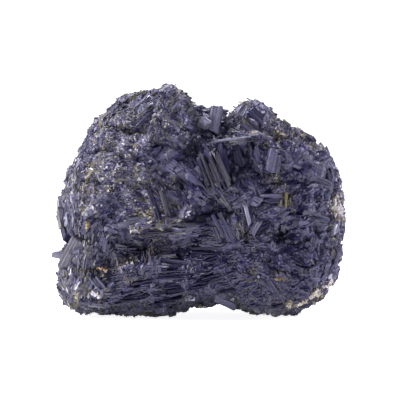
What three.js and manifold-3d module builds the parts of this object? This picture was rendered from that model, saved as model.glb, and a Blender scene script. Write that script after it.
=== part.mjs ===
// Epidote crystal specimen: one lump of dark prismatic crystals grown into each other.
// Millimetres, +Z up, the show face looks along -Y, and the lump rests on its two flat feet at z = 0.
import * as THREE from "three";
import { mergeVertices } from "three/addons/utils/BufferGeometryUtils.js";
import Module from "manifold-3d";

const wasm = await Module();
wasm.setup();

// Driving dimensions of the lump.
const MIDDLE_HEIGHT = 27; // the middle of the lump above the rest plane
const FRONT_DEPTH = 20.5; // from the middle to the show face
const BACK_DEPTH = 22; // from the middle to the back
const BOX_MIDDLE_X = 0.2; // the middle of the finished lump's box, which becomes the part's origin
const BOX_MIDDLE_Y = 1.15;
const CRYSTAL_REACH = 1.2; // how far the crystals stand out of the intergrown mass
const OUTLINE_SQUARENESS = 0.72; // below 1 the faces are flatter and the rim is fuller than an ellipsoid
const DEPTH_SQUARENESS = 0.8;
const MASS_SPLITS = 8; // cuts along each edge of the twenty-faced ball that the mass is made from
const SIDE_TURNS_FROM = 0.1; // a side's relief starts where the surface faces it by this much,
const SIDE_FULLY_FROM = 0.6; // and is whole from here (cosine of the angle between them)

// Driving dimensions of the crystals.
const PRISM_SHOULDER = 0.36; // half width of a prism's broad face, as a share of its width
const SHOULDER_RANGE = 0.1; // how much the shoulder differs from one prism to another
const END_SLANT = 0.55; // how far a prism's end face leans, as a share of its width
const SLENDER = 2.3; // prisms narrower than this are four-sided with an edge outwards, the others six-sided
const SHEAF_PITCH = 1.12; // from one prism of a sheaf to the next, as a share of their width
const SHEAF_STEP = 0.4; // how far a sheaf's prisms stand above or below each other
const SHEAF_STAGGER = 0.35; // how far they are shifted along each other, as a share of their length
const SHEAF_LENGTHS = [0.6, 1.2]; // shortest and longest of a sheaf, as shares of its length
const SHEAF_WIDTHS = [0.75, 1.25]; // narrowest and widest, as shares of its width
const SHEAF_DEPTH = 0.8; // depth of a sheaf's prisms, as a share of its width
const SHEAF_NUMBERS_FROM = 1000; // the show face's prisms have the numbers below this
const SHEAF_NUMBERS_APART = 20;
const STANDING_PROUD = 0.35; // a prism's broad face above the mass, before its own extra height
const LUMP_HEIGHT = 0.8; // the mass's uneven lumps
const FACET_BREAK = 1.1; // how far the corners of the mass's own facets stand above or below its lumps

const degrees = THREE.MathUtils.degToRad;

// The lump's outline seen from the front, [x, z], from the right edge up and over the two tops,
// down the left edge, and back along the two feet with the low arch between them.
const OUTLINE = [
  [38, 29.1], [37.3, 34.3], [36, 39.3], [33.3, 43.7], [28.9, 46.8], [25, 49.5], [21.6, 52.4],
  [17.8, 54.9], [14, 56.2], [10.8, 55.1], [8.9, 53.2], [7.4, 51.9], [5.8, 53.6], [4.3, 54.5],
  [0.8, 53.9], [-2, 56], [-3.9, 58.4], [-7.4, 60.2], [-11.8, 58.8], [-16.5, 58.3], [-21.3, 56.7],
  [-24.8, 53.3], [-27.9, 49.7], [-30.1, 45.3], [-32.4, 40.9], [-34.8, 36.5], [-36.3, 31.7],
  [-36.6, 26.5], [-36.4, 21.8], [-34.3, 19.3], [-35, 17.6], [-37.2, 16.3], [-36.8, 14.2],
  [-36.6, 9.4], [-35, 3.4], [-30, -1.8], [-22.2, -3.2], [-11.3, -3], [-6.6, 0.6], [-2.5, 2.3],
  [1.4, 2.3], [5.1, 2.8], [8.3, 3], [11, 1.4], [13.8, -1.2], [20, -2.6], [26, -1.6], [30.4, 2.4],
  [33.4, 7.6], [36.6, 13], [38, 18.5], [38.1, 23.9],
].map(([x, z]) => ({
  turn: Math.atan2(z - MIDDLE_HEIGHT, x),
  reach: Math.hypot(x, z - MIDDLE_HEIGHT) - CRYSTAL_REACH,
})).sort((a, b) => a.turn - b.turn);

// Hollows (negative) and swells (positive) of the mass, by the side that they lie on:
// [place along, place up, half width, half height, height]. Along is x on the front and back,
// y on the left and right; on the top the second place is y.
const RELIEF = {
  front: [
    [4.3, 48.1, 3.5, 5, -4], [7.7, 49.7, 6, 2.5, -3], [9.8, 40.8, 3.5, 6, -4],
    [-17.8, 19.8, 6.5, 2.8, -4.5], [-6.4, 19.5, 5, 2.2, -3], [-23.8, 14.3, 2.6, 3.2, -4],
    [20.7, 22.1, 3.2, 2, -3], [-15.2, 40.8, 2, 1.5, -2],
    [-2.2, 43.4, 3, 3, -2.5], [4.8, 27.8, 5, 3, -2.5], [32.5, 11.7, 2, 1.5, -2],
    [-21.7, 39.5, 9, 9, 3], [-7.4, 56.4, 6, 5, 3], [15.5, 53.3, 5, 4, 3], [10.3, 46.5, 7, 1.5, 2.5],
    [-8.7, 24.7, 12, 2, 2.5], [-6.1, 12.2, 15, 5, 2.5], [22.5, 10.9, 10, 7, 2.5], [26.4, 42.1, 7, 3.5, 2],
    [3, 36.9, 4, 6, 1.5], [-30.8, 8.3, 4, 6, 1.5],
  ],
  back: [
    [-14, 36, 12, 9, 3], [17, 24, 11, 10, 3], [4, 44, 7, 5, -3.5], [-4, 22, 5, 9, -3],
    [-22, 16, 9, 6, 2.5], [14, 41, 4, 3, -2.5], [22, 9, 6, 3, -2.5],
  ],
  left: [[6, 32, 6, 8, 0.5], [-4, 17, 4, 3, -2.5], [12, 14, 6, 5, 0.8]],
  right: [[7, 36, 7, 6, 0.3], [3, 20, 4, 3, -1.5], [12, 12, 6, 5, 0.8]],
  top: [[-14, 9, 8, 6, 0.4], [14, 10, 6, 6, 0.3], [-2, 12, 5, 5, -3]],
};
const SIDES = {
  front: { facing: [0, -1, 0], along: "x", up: "z" },
  back: { facing: [0, 1, 0], along: "x", up: "z" },
  left: { facing: [-1, 0, 0], along: "y", up: "z" },
  right: { facing: [1, 0, 0], along: "y", up: "z" },
  top: { facing: [0, 0, 1], along: "x", up: "y" },
};

// Distance from the middle to the outline in the direction of turn, straight between its points.
function outlineReach(turn) {
  const next = OUTLINE.findIndex((knot) => knot.turn > turn);
  const after = OUTLINE[Math.max(next, 0)];
  const before = OUTLINE.at(Math.max(next, 0) - 1);
  const wrap = (angle) => (angle + 2 * Math.PI) % (2 * Math.PI);
  const share = wrap(turn - before.turn) / wrap(after.turn - before.turn);
  return before.reach + share * (after.reach - before.reach);
}

// Lumps of broken and intergrown crystal all over the mass: waves about 12 mm long, bent so that they
// don't line up, with waves about 5 mm long on them.
function lumps({ x, y, z }) {
  const bend = 0.52 * x + 1.3 * Math.sin(0.31 * z + 0.7);
  const long = Math.sin(bend) * Math.cos(0.47 * y + 1.1 * Math.sin(0.29 * x) + 0.4);
  const short = Math.sin(1.31 * x + 0.9 * z) * Math.sin(1.17 * y - 1.4 * z + 0.6);
  return LUMP_HEIGHT * (long + 0.45 * short);
}

// A round rise: 1 in its middle, dying away over about one and a half times its half sizes.
const bump = (across, up) => Math.exp(-(across ** 2) - up ** 2);

function reliefHeight(point, normal) {
  let height = lumps(point);
  for (const [side, { facing, along, up }] of Object.entries(SIDES)) {
    const toward = normal.dot(new THREE.Vector3(...facing));
    const weight = THREE.MathUtils.smoothstep(toward, SIDE_TURNS_FROM, SIDE_FULLY_FROM);
    if (weight === 0) continue;
    for (const [a, b, halfWidth, halfHeight, rise] of RELIEF[side])
      height += weight * rise * bump((point[along] - a) / halfWidth, (point[up] - b) / halfHeight);
  }
  return height;
}

// A point of the mass and the direction out of it. turn goes round the outline from +X towards +Z;
// pitch goes from the middle of the show face (0) over the rim to the middle of the back (PI).
function massSurface(turn, pitch) {
  const out = Math.sin(pitch);
  const back = -Math.cos(pitch);
  const depth = back < 0 ? FRONT_DEPTH : BACK_DEPTH;
  const reach = outlineReach(turn);
  const share = out ** OUTLINE_SQUARENESS;
  const point = new THREE.Vector3(
    reach * share * Math.cos(turn),
    Math.sign(back) * Math.abs(back) ** DEPTH_SQUARENESS * depth,
    MIDDLE_HEIGHT + reach * share * Math.sin(turn),
  );
  const rim = out ** (2 - OUTLINE_SQUARENESS) / reach;
  const normal = new THREE.Vector3(
    rim * Math.cos(turn),
    (Math.sign(back) * Math.abs(back) ** (2 - DEPTH_SQUARENESS)) / depth,
    rim * Math.sin(turn),
  ).normalize();
  return { point: point.addScaledVector(normal, reliefHeight(point, normal)), normal };
}

// The place of the show face that lies at x, z.
function showFaceAt(x, z) {
  const up = z - MIDDLE_HEIGHT;
  const turn = Math.atan2(up, x);
  const share = Math.min(1, Math.hypot(x, up) / outlineReach(turn));
  return massSurface(turn, Math.asin(share ** (1 / OUTLINE_SQUARENESS)));
}

// The place of the mass in the direction of a point near it.
function nearestOnMass({ x, y, z }) {
  const turn = Math.atan2(z - MIDDLE_HEIGHT, x);
  const share = Math.hypot(x, z - MIDDLE_HEIGHT) / outlineReach(turn);
  const depth = Math.abs(y) / (y < 0 ? FRONT_DEPTH : BACK_DEPTH);
  const out = share ** (1 / OUTLINE_SQUARENESS);
  const forward = -Math.sign(y) * depth ** (1 / DEPTH_SQUARENESS);
  return massSurface(turn, Math.atan2(out, forward));
}

function solidOf(geometry) {
  geometry.deleteAttribute("normal");
  geometry.deleteAttribute("uv");
  const merged = mergeVertices(geometry, 1e-4);
  return new wasm.Manifold(new wasm.Mesh({
    numProp: 3,
    vertProperties: merged.attributes.position.array,
    triVerts: new Uint32Array(merged.index.array),
  }));
}

// The mass: a ball whose every corner is moved onto the lump's surface, and then a little in or out,
// so that its facets meet at sharp edges as broken crystal does.
function mass() {
  const ball = new THREE.IcosahedronGeometry(1, MASS_SPLITS);
  const places = ball.attributes.position;
  for (let i = 0; i < places.count; i++) {
    const [x, y, z] = [places.getX(i), places.getY(i), places.getZ(i)];
    const pitch = Math.acos(THREE.MathUtils.clamp(-y, -1, 1));
    const { point, normal } = massSurface(Math.atan2(z, x), pitch);
    // The ball's faces each have corners of their own: those at one place get one number.
    const corner = Math.round(40 * x) + 97 * Math.round(40 * y) + 389 * Math.round(40 * z);
    point.addScaledVector(normal, FACET_BREAK * (2 * chance(corner, 9) - 1));
    places.setXYZ(i, point.x, point.y, point.z);
  }
  return solidOf(ball);
}

// A repeatable number from 0 to 1 for the crystal and the purpose that it is asked for.
function chance(crystalNumber, purpose) {
  const mixed = Math.sin(crystalNumber * 12.9898 + purpose * 78.233) * 43758.5453;
  return mixed - Math.floor(mixed);
}

// One epidote prism: a flattened six-sided column along axis whose broad face looks out of the mass.
// Its two end faces lean, each its own way.
function prism({ point, normal, axis, length, width, depth, proud, number }) {
  const sides = width < SLENDER ? 4 : 6;
  const column = new THREE.CylinderGeometry(0.5, 0.5, 1, sides, 1);
  const places = column.attributes.position;
  const slants = [1, 2].map((purpose) => END_SLANT * (2 * chance(number, purpose) - 1));
  const shoulder = PRISM_SHOULDER + SHOULDER_RANGE * (chance(number, 3) - 0.5);
  for (let i = 0; i < places.count; i++) {
    // Two of the even column's corners point along z: a quarter turn makes z the width, -x the depth.
    // A six-sided column's other four corners lie halfway out, and are moved to the shoulder.
    const share = Math.round(4 * places.getZ(i)) / 4;
    const halfwayOut = Math.abs(share) === 0.25;
    const wide = halfwayOut ? Math.sign(share) * shoulder : share;
    const deep = -places.getX(i) / (sides === 4 ? 1 : Math.cos(Math.PI / 6));
    const end = Math.sign(places.getY(i));
    const slant = slants[end > 0 ? 0 : 1] * width * wide;
    places.setXYZ(i, wide * width, (end * length) / 2 + slant, deep * depth);
  }
  const out = normal.clone().addScaledVector(axis, -normal.dot(axis)).normalize();
  const side = axis.clone().cross(out);
  const centre = point.clone().addScaledVector(out, proud + STANDING_PROUD - depth / 2);
  column.applyMatrix4(new THREE.Matrix4().makeBasis(side, axis, out).setPosition(centre));
  return solidOf(column);
}

// Crystals of the show face: [x, z, lean, tilt, length, width, depth, extra height]. Lean turns the
// long axis from +X up towards +Z; tilt lifts it out of the face towards the front.
const SHOW_FACE = {
  leftPeak: [
    [-7.2, 54.8, 70, 12, 7, 4.8, 4.6, 0.8], [-11.5, 56.2, 35, 10, 7, 4.6, 4, 1.4],
    [-3.2, 55.4, -60, 10, 6, 4.2, 3.6, 1], [-15, 56.4, 20, 5, 5.5, 3.4, 3, 0.2],
    [-20.5, 55, 35, 10, 5, 3.2, 2.8, 0.2], [3, 52, 2, 0, 5, 3.4, 3.2, 0.8],
    [5, 49.8, -75, 5, 4.6, 3.2, 2.8, 0.6], [-3, 49.5, -35, 5, 6, 3.2, 2.8, 0.4],
  ],
  rightTop: [
    [12.8, 51.6, 38, 5, 5, 3.2, 3.4, 0.4], [15, 52, -45, 5, 7, 4.4, 4.2, 1],
    [18.5, 52.5, -42, 5, 7, 2.8, 2.8, 0.8], [22.5, 49, -35, 10, 5, 3.2, 2.8, 0.6],
    [27, 46.5, -25, 5, 7, 3, 2.8, 0.4], [31.5, 44.5, -30, 5, 5, 3, 2.8, 0.4],
    [24.5, 43, -8, 0, 15.5, 4, 2.8, 0.4], [31.5, 41, -20, 0, 7.5, 3, 2.6, 0.2],
    [13.5, 48.8, -45, 5, 6, 3, 2.4, 0.2],
  ],
  ledgeAndPlates: [
    [10, 46.5, 3, 0, 12, 2.4, 3.2, 1], [10, 41, -80, 0, 10, 2.6, 2.4, 0],
    [13.5, 42.5, -78, 0, 6, 2.8, 2.4, 0.4], [6.5, 41, -80, 0, 9.5, 2.4, 2.2, 0.4],
    [20, 40, 80, 5, 6, 4, 3, 0.6], [17, 36.5, -70, 5, 6, 3, 2.4, 0.4],
  ],
  bladeFan: [
    [2, 36, -70, 0, 9, 2, 2.2, 0.4], [4.2, 37, -67, 0, 10, 2, 2.2, 0.7],
    [6.3, 38, -64, 0, 9, 2, 2.2, 0.6], [-0.8, 35.5, -52, 0, 12, 2, 2.2, 0.6],
    [-11, 29.5, -75, 0, 9, 2.2, 2.2, 0.4], [-8.5, 29, -72, 0, 10, 2.2, 2.2, 0.4],
    [-4.5, 29.5, -69, 0, 9, 2.4, 2.2, 0.2],
  ],
  rightMiddle: [
    [12, 29, -76, 5, 9.5, 2, 2.2, 0.8], [16, 30.5, -60, 0, 6, 3.6, 2.8, 0.4],
    [8, 24.5, 80, 0, 8, 4.6, 2.8, 0.4], [11.5, 35.5, 80, 10, 5, 4, 3, 0.4],
    [22, 29, 88, 0, 6, 3.4, 2.8, 0.6], [22.5, 23.5, 55, 0, 7, 4, 3, 0.4],
    [28.5, 33.5, 20, 10, 6, 3.6, 3, 0.4], [30.5, 27, -10, 0, 8.5, 4, 3, 0.6],
    [34.8, 23, 75, 0, 6, 3, 2.8, 0.2], [33.5, 36.5, -80, 0, 6.5, 3.2, 2.8, 0.2],
    [17, 24.5, 20, 0, 6, 3, 2.6, 0.4], [29, 18.5, 75, 5, 6.5, 3.4, 2.8, 0.4],
    [34.5, 16, 70, 5, 6, 3, 2.6, 0.2],
  ],
  rightFoot: [
    [28.5, 10, 70, 0, 7.5, 5.2, 3.4, 0.6], [24, 15, -25, 5, 8, 4, 3, 0.6],
    [28, 3.8, 20, 0, 7.5, 3.4, 3, 0.4], [20.5, 3.8, 8, 0, 7.5, 3.2, 2.8, 0.4],
    [18.5, 14, 50, 0, 7, 3.6, 3, 0.4], [20, 9, -55, 5, 7, 4, 3, 0.6],
    [12.5, 10, 20, 0, 7, 3.4, 2.8, 0.4], [6, 5, -45, 5, 6, 3, 2.8, 0.8],
    [12.5, 4, 75, 0, 5.5, 3.2, 2.8, 0.4],
  ],
  shelf: [
    [-10, 23, 2, 0, 11, 2.4, 3.2, 1], [-2, 24.5, 8, 0, 9, 2.4, 2.8, 0.8],
    [-15.5, 25.5, 10, 0, 7, 2.6, 4.2, 0.4], [-13, 15.5, 85, 0, 9, 2.6, 2.6, 0.4],
    [-7.5, 14.5, 90, 0, 8, 4.4, 2.8, 0.4], [-18.5, 13.5, -75, 0, 6, 4, 2.6, 0.2],
  ],
  lowerSlab: [
    [4, 17.5, 2, 0, 14, 2.8, 2.6, 0.2], [0.5, 14, 5, 0, 16, 2.8, 2.6, 0.4],
    [-7, 10.2, 8, 0, 18, 2.8, 2.6, 0.4], [4.5, 7.5, 10, 0, 12, 2.8, 2.6, 0.2],
    [-14, 6.2, 10, 0, 14, 2.8, 2.6, 0.4], [-20.5, 2.6, 4, 0, 12, 2.8, 2.6, 0.2],
  ],
  leftEdge: [
    [-33, 15, 58, 0, 8, 4, 3.6, 0.8], [-35.8, 15.4, 172, 0, 3, 2, 2.2, 0],
    [-34.3, 21.5, -70, 5, 5, 4, 3.2, 0.2], [-29, 20.5, 88, 0, 6.5, 2.4, 2.2, 0.4],
    [-24.5, 23, 78, 0, 8, 2.4, 2.2, 0.4], [-32.5, 28, 85, 0, 7, 3, 2.6, 0.2],
    [-25.5, 9.5, -50, 5, 5, 3, 2.4, 0.4], [-28.5, 14, 84, 0, 7, 2.2, 2.2, 0.2],
    [-33, 6, 84, 0, 7.5, 2.6, 2.4, 0.2], [-29, 5, 75, 0, 7.5, 2.6, 2.4, 0.4],
  ],
  leftCrust: [
    [-8, 40, -25, 5, 6, 3.6, 2.8, 0.4], [-12, 47, 70, 0, 6, 3.6, 2.8, 0.4],
    [-22, 47, 40, 0, 6, 3.4, 2.8, 0.4], [-27, 39, 60, 0, 6, 3.4, 2.8, 0.4],
    [-19, 38, 10, 0, 6, 3.4, 2.8, 0.6], [-27.5, 32, 75, 0, 6, 3.2, 2.6, 0.4],
    [-16, 32, -50, 0, 7, 3.2, 2.8, 0.4], [-17, 52.5, 15, 5, 5.5, 3.2, 2.8, 0.4],
    [-21.5, 29.5, 50, 0, 6, 3, 2.6, 0.4], [-32, 36, 65, 5, 5.5, 3.2, 2.8, 0.2],
    [-7.5, 50, 60, 5, 6, 3.2, 2.8, 0.4],
  ],
};

// Sheaves of near-parallel prisms on the top, sides and back: [turn, pitch, lean, spread, count,
// length, width]. turn and pitch place the sheaf's middle; lean turns it from level towards upright.
const SHEAVES = [
  [125, 114, 20, 18, 3, 8, 3.6], [55, 120, -20, 14, 3, 9, 3.8], [75, 152, 70, 16, 3, 10, 3.8],
  [148, 142, 25, 14, 3, 11, 3.8], [175, 105, 80, 16, 3, 9, 3.4], [200, 127, -35, 18, 3, 9, 3.4],
  [170, 160, 50, 12, 4, 13, 3.6], [20, 142, -60, 14, 3, 11, 3.8], [0, 108, 75, 18, 3, 9, 3.4],
  [335, 127, 15, 16, 3, 10, 3.6], [345, 160, -20, 12, 4, 13, 3.8], [245, 150, 5, 12, 3, 12, 3.4],
  [290, 147, 40, 14, 3, 10, 3.4], [182, 84, -60, 16, 3, 9, 3.4], [155, 96, 50, 16, 3, 9, 3.6],
  [112, 92, 15, 14, 3, 9, 3.6], [30, 98, 60, 16, 3, 9, 3.6],
];

// The direction along the mass at lean from level, level being to the right for someone who faces it.
function directionAlong(normal, lean) {
  const level = new THREE.Vector3(0, 0, 1).cross(normal);
  const facesUpOrDown = level.length() < 0.2;
  if (facesUpOrDown) level.set(1, 0, 0).addScaledVector(normal, -normal.x);
  level.normalize();
  const rise = normal.clone().cross(level);
  return level.multiplyScalar(Math.cos(lean)).addScaledVector(rise, Math.sin(lean));
}

function showFacePrism([x, z, lean, tilt, length, width, depth, extra], number) {
  const { point, normal } = showFaceAt(x, z);
  point.set(x, point.y, z);
  const inPlane = new THREE.Vector3(Math.cos(degrees(lean)), 0, Math.sin(degrees(lean)));
  // Crystals on the face lie along it; those on the rim keep the direction that they are seen in.
  const facing = Math.max(0, -normal.y) ** 2;
  const axis = inPlane.addScaledVector(normal, -facing * inPlane.dot(normal)).normalize();
  axis.multiplyScalar(Math.cos(degrees(tilt))).y -= Math.sin(degrees(tilt));
  return prism({ point, normal, axis: axis.normalize(), length, width, depth, proud: extra, number });
}

function sheafPrisms([turn, pitch, lean, spread, count, length, width], sheafNumber) {
  const middle = massSurface(degrees(turn > 180 ? turn - 360 : turn), degrees(pitch));
  const along = directionAlong(middle.normal, degrees(lean));
  const across = along.clone().cross(middle.normal);
  return Array.from({ length: count }, (_, i) => {
    const number = SHEAF_NUMBERS_FROM + SHEAF_NUMBERS_APART * sheafNumber + i;
    const step = i - (count - 1) / 2;
    const place = middle.point.clone()
      .addScaledVector(across, step * width * SHEAF_PITCH)
      .addScaledVector(along, length * SHEAF_STAGGER * (chance(number, 4) - 0.5));
    const { point, normal } = nearestOnMass(place);
    const turned = degrees(lean + spread * (chance(number, 5) - 0.5 + step / count));
    return prism({
      point,
      normal,
      axis: directionAlong(normal, turned),
      length: length * THREE.MathUtils.lerp(...SHEAF_LENGTHS, chance(number, 6)),
      width: width * THREE.MathUtils.lerp(...SHEAF_WIDTHS, chance(number, 7)),
      depth: width * SHEAF_DEPTH,
      proud: SHEAF_STEP * (2 * chance(number, 8) - 1),
      number,
    });
  });
}

const showFacePrisms = Object.values(SHOW_FACE).flat().map(showFacePrism);
const otherPrisms = SHEAVES.flatMap(sheafPrisms);
const grown = wasm.Manifold.union([mass(), ...showFacePrisms, ...otherPrisms]);
const rested = grown.trimByPlane([0, 0, 1], 0);

const surface = rested.getMesh();
const geometry = new THREE.BufferGeometry()
  .setAttribute("position", new THREE.BufferAttribute(surface.vertProperties, 3))
  .setIndex(new THREE.BufferAttribute(surface.triVerts, 1));
geometry.computeVertexNormals();

const epidote = new THREE.MeshStandardMaterial({
  color: 0x3b3c4e,
  roughness: 0.32,
  metalness: 0,
  flatShading: true,
});
const cluster = new THREE.Mesh(geometry, epidote);
cluster.name = "epidote_cluster";
cluster.position.set(-BOX_MIDDLE_X, -BOX_MIDDLE_Y, 0);

const specimen = new THREE.Group();
specimen.add(cluster);
export default specimen;
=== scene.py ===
import bpy
import numpy as np
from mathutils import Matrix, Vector


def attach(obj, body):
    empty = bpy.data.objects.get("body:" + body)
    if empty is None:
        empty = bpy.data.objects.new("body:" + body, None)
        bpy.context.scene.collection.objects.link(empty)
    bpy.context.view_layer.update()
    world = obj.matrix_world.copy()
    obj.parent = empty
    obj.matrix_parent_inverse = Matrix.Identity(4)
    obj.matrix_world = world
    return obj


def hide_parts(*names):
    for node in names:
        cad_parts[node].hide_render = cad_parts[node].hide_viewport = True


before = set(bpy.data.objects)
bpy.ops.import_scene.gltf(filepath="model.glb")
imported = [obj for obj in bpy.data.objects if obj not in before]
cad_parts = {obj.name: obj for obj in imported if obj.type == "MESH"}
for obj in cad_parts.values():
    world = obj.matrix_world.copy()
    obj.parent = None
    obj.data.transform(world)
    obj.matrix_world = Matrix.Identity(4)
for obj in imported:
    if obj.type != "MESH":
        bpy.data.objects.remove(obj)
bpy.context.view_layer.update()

# ---------------------------------------------------------------------------------------------
# The intergrown mass. The body of the specimen is epidote that grew into itself until hardly a
# gap was left: one dark lump with two tops, two feet and a low arch between them. It was broken
# from the vein, so all its surface is small sharp facets. Everything else is rooted in it.
# ---------------------------------------------------------------------------------------------
MM = 0.001  # all lengths below are in millimetres; -y is the front, as in the frame
BOX_MIDDLE = np.array([0.2, 1.15, 0.0])  # the lump's box middle, on which the frame is centred
MIDDLE_HEIGHT = 27.0  # of the point that the outline's directions are taken from
FRONT_DEPTH = 20.5
BACK_DEPTH = 22.0
CRYSTAL_REACH = 1.0  # how far the crystals pass the mass at the outline
OUTLINE_SQUARENESS = 0.72
DEPTH_SQUARENESS = 0.8
LUMP_HEIGHT = 0.8
FACET_BREAK = 0.22  # how far a vertex stands in or out, which breaks the surface into facets
MASS_TURNS = 380
MASS_PITCHES = 150
MASS_COLOUR = "#2d2a4a"
MASS_FLECKS_AND_GLINTS = 0.3
# Drift as rows of [height, size, seed], and cracks along the lines where a drift passes through 0
# as rows of [depth, size, seed, half width].
DRIFTS = [(0.28, 4.5, 5), (0.13, 2.2, 6)]
CRACKS = [(1.3, 12, 9, 0.4), (0.6, 6.5, 10, 0.45)]

# The outline seen from the front, [x, z], from the right edge over the tops and back by the feet.
OUTLINE = np.array([
    [38, 29.1], [37.3, 34.3], [36, 39.3], [33.6, 43.3], [28.3, 46], [25, 49.5], [21.6, 52.4],
    [17.8, 54.9], [14, 56.2], [10.8, 55.1], [8.9, 53.2], [7.4, 51.9], [5.8, 53.6], [4.3, 54.5],
    [0.8, 53.9], [-2, 56], [-3.9, 58.4], [-7.4, 60.2], [-11.8, 58.8], [-16.5, 58.3], [-21.3, 56.7],
    [-24.8, 53.3], [-27.9, 49.7], [-30.1, 45.3], [-32.4, 40.9], [-34.8, 36.5], [-36.3, 31.7],
    [-36.6, 26.5], [-36.4, 21.8], [-34.3, 19.3], [-35, 17.6], [-37.2, 16.3], [-36.8, 14.2],
    [-36.8, 9.2], [-35.9, 4.4], [-33.6, 1.6], [-28.5, 0.7], [-23, 0.1], [-18, -0.3], [-13.5, -0.3],
    [-9.6, -1.4], [-6.8, 0.2], [-2.5, 1.8], [1.4, 1.7], [5.1, 2.5], [8.3, 2.6], [11, 1.8],
    [13.6, 0.8], [18, 0], [22.5, 0], [26, 0.8], [31, 2.9], [34.4, 6.7], [37.1, 12.2], [38.4, 18.3],
    [38.3, 23.9],
])

# Hollows and swells by the side that they lie on: the way that side faces, the two axes that
# place them, and rows of [along, up, half width, half height, height].
RELIEF = [
    ((0, -1, 0), (0, 2), [
        [4.3, 48.1, 3.5, 5, -1.8], [7.7, 49.7, 6, 2.5, -1.5], [9.8, 40.8, 3.5, 6, -4],
        [-17.8, 19.2, 6.5, 3.2, -5.2], [-6.4, 19.5, 5, 2.2, -2.2], [-23.8, 14.3, 2.6, 3.2, -4],
        [20.7, 22.1, 3.2, 2, -3], [-15.2, 40.8, 2, 1.5, -2], [-2.2, 43.4, 3, 3, -2.5],
        [4.8, 27.8, 5, 3, -2.5], [32.5, 11.7, 2, 1.5, -2], [-21.7, 39.5, 9, 9, 3],
        [-7.4, 56.4, 6, 5, 3], [15.5, 53.3, 5, 4, 3], [10.3, 46.5, 7, 1.5, 2.5],
        [-8.7, 24.7, 12, 2, 2.5], [-5, 12.2, 13, 5, 2.2], [-11, 32, 5, 4, 1.5],
        [-15, 10.5, 5, 3, -1.5], [4, 17, 8, 2.2, -1.3], [22.5, 10.9, 10, 7, 2.5],
        [26.4, 42.1, 7, 3.5, 2], [3, 36.9, 4, 6, 1.5], [-30.8, 8.3, 4, 6, 1.5],
        [-3.8, 34.8, 2.4, 3, -2.5], [21.5, 22.6, 2.4, 2, -3], [24.5, 19, 2.5, 1.5, -2],
        [-15, 17.5, 3.5, 2, -2.5], [2.5, 30, 3.5, 2, -1.5], [-9.5, 43.8, 2, 1.5, -2],
        [1.8, 46.8, 3, 1.8, -1.5], [-4, 18, 4, 1.6, -1.5]]),
    ((0, 1, 0), (0, 2), [
        [-14, 36, 12, 9, 3], [17, 24, 11, 10, 3], [4, 44, 7, 5, -3.5], [-4, 22, 5, 9, -3],
        [-22, 16, 9, 6, 2.5], [14, 41, 4, 3, -2.5], [22, 9, 6, 3, -2.5]]),
    ((-1, 0, 0), (1, 2), [[6, 32, 6, 8, 0.5], [-4, 17, 4, 3, -2.5], [12, 14, 6, 5, 0.8]]),
    ((1, 0, 0), (1, 2), [[7, 36, 7, 6, 0.3], [3, 20, 4, 3, -1.5], [12, 12, 6, 5, 0.8]]),
    ((0, 0, 1), (0, 1), [[-14, 9, 8, 6, 0.4], [14, 10, 6, 6, 0.3], [-2, 12, 5, 5, -3]]),
]

outline_turn = np.arctan2(OUTLINE[:, 1] - MIDDLE_HEIGHT, OUTLINE[:, 0])
outline_distance = np.hypot(OUTLINE[:, 0], OUTLINE[:, 1] - MIDDLE_HEIGHT) - CRYSTAL_REACH


def unit(vectors):
    """The vectors at length 1."""
    return vectors / np.linalg.norm(vectors, axis=-1, keepdims=True)


def outline_reach(turn):
    """Distance from the middle to the outline in the direction turn, straight between its points."""
    return np.interp(turn, outline_turn, outline_distance, period=2 * np.pi)


def drift(place, size, seed):
    """Smooth unevenness about 0 with a spread of 1: sixteen sine waves of one length, size, that
    cross the lump in directions and from starts drawn with the seed."""
    chance = np.random.default_rng(seed)
    ways = unit(chance.normal(size=(16, 3))) * 2 * np.pi / size
    return np.sin(place @ ways.T + 2 * np.pi * chance.random(16)).sum(axis=-1) / np.sqrt(8)


def relief_height(place, normal):
    """Long and short waves of lumps, plus the finer drifts, less a crack of exp(-(drift / half
    width)^2) for each row of CRACKS, plus each hollow and swell as exp(-across^2 - up^2), faded
    out where the surface turns away from the side that it belongs to."""
    x, y, z = place[..., 0], place[..., 1], place[..., 2]
    bend = 0.52 * x + 1.3 * np.sin(0.31 * z + 0.7)
    long_waves = np.sin(bend) * np.cos(0.47 * y + 1.1 * np.sin(0.29 * x) + 0.4)
    short_waves = np.sin(1.31 * x + 0.9 * z) * np.sin(1.17 * y - 1.4 * z + 0.6)
    height = LUMP_HEIGHT * (long_waves + 0.45 * short_waves)
    for rise, size, seed in DRIFTS:
        height = height + rise * drift(place, size, seed)
    for depth, size, seed, half_width in CRACKS:
        height = height - depth * np.exp(-((drift(place, size, seed) / half_width) ** 2))
    for facing, (along, up), rows in RELIEF:
        share = np.clip((normal @ np.array(facing, float) - 0.1) / 0.5, 0, 1)
        weight = share * share * (3 - 2 * share)
        for a, b, half_width, half_height, rise in rows:
            across = (place[..., along] - a) / half_width
            upward = (place[..., up] - b) / half_height
            height = height + weight * rise * np.exp(-across**2 - upward**2)
    return height


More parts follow.
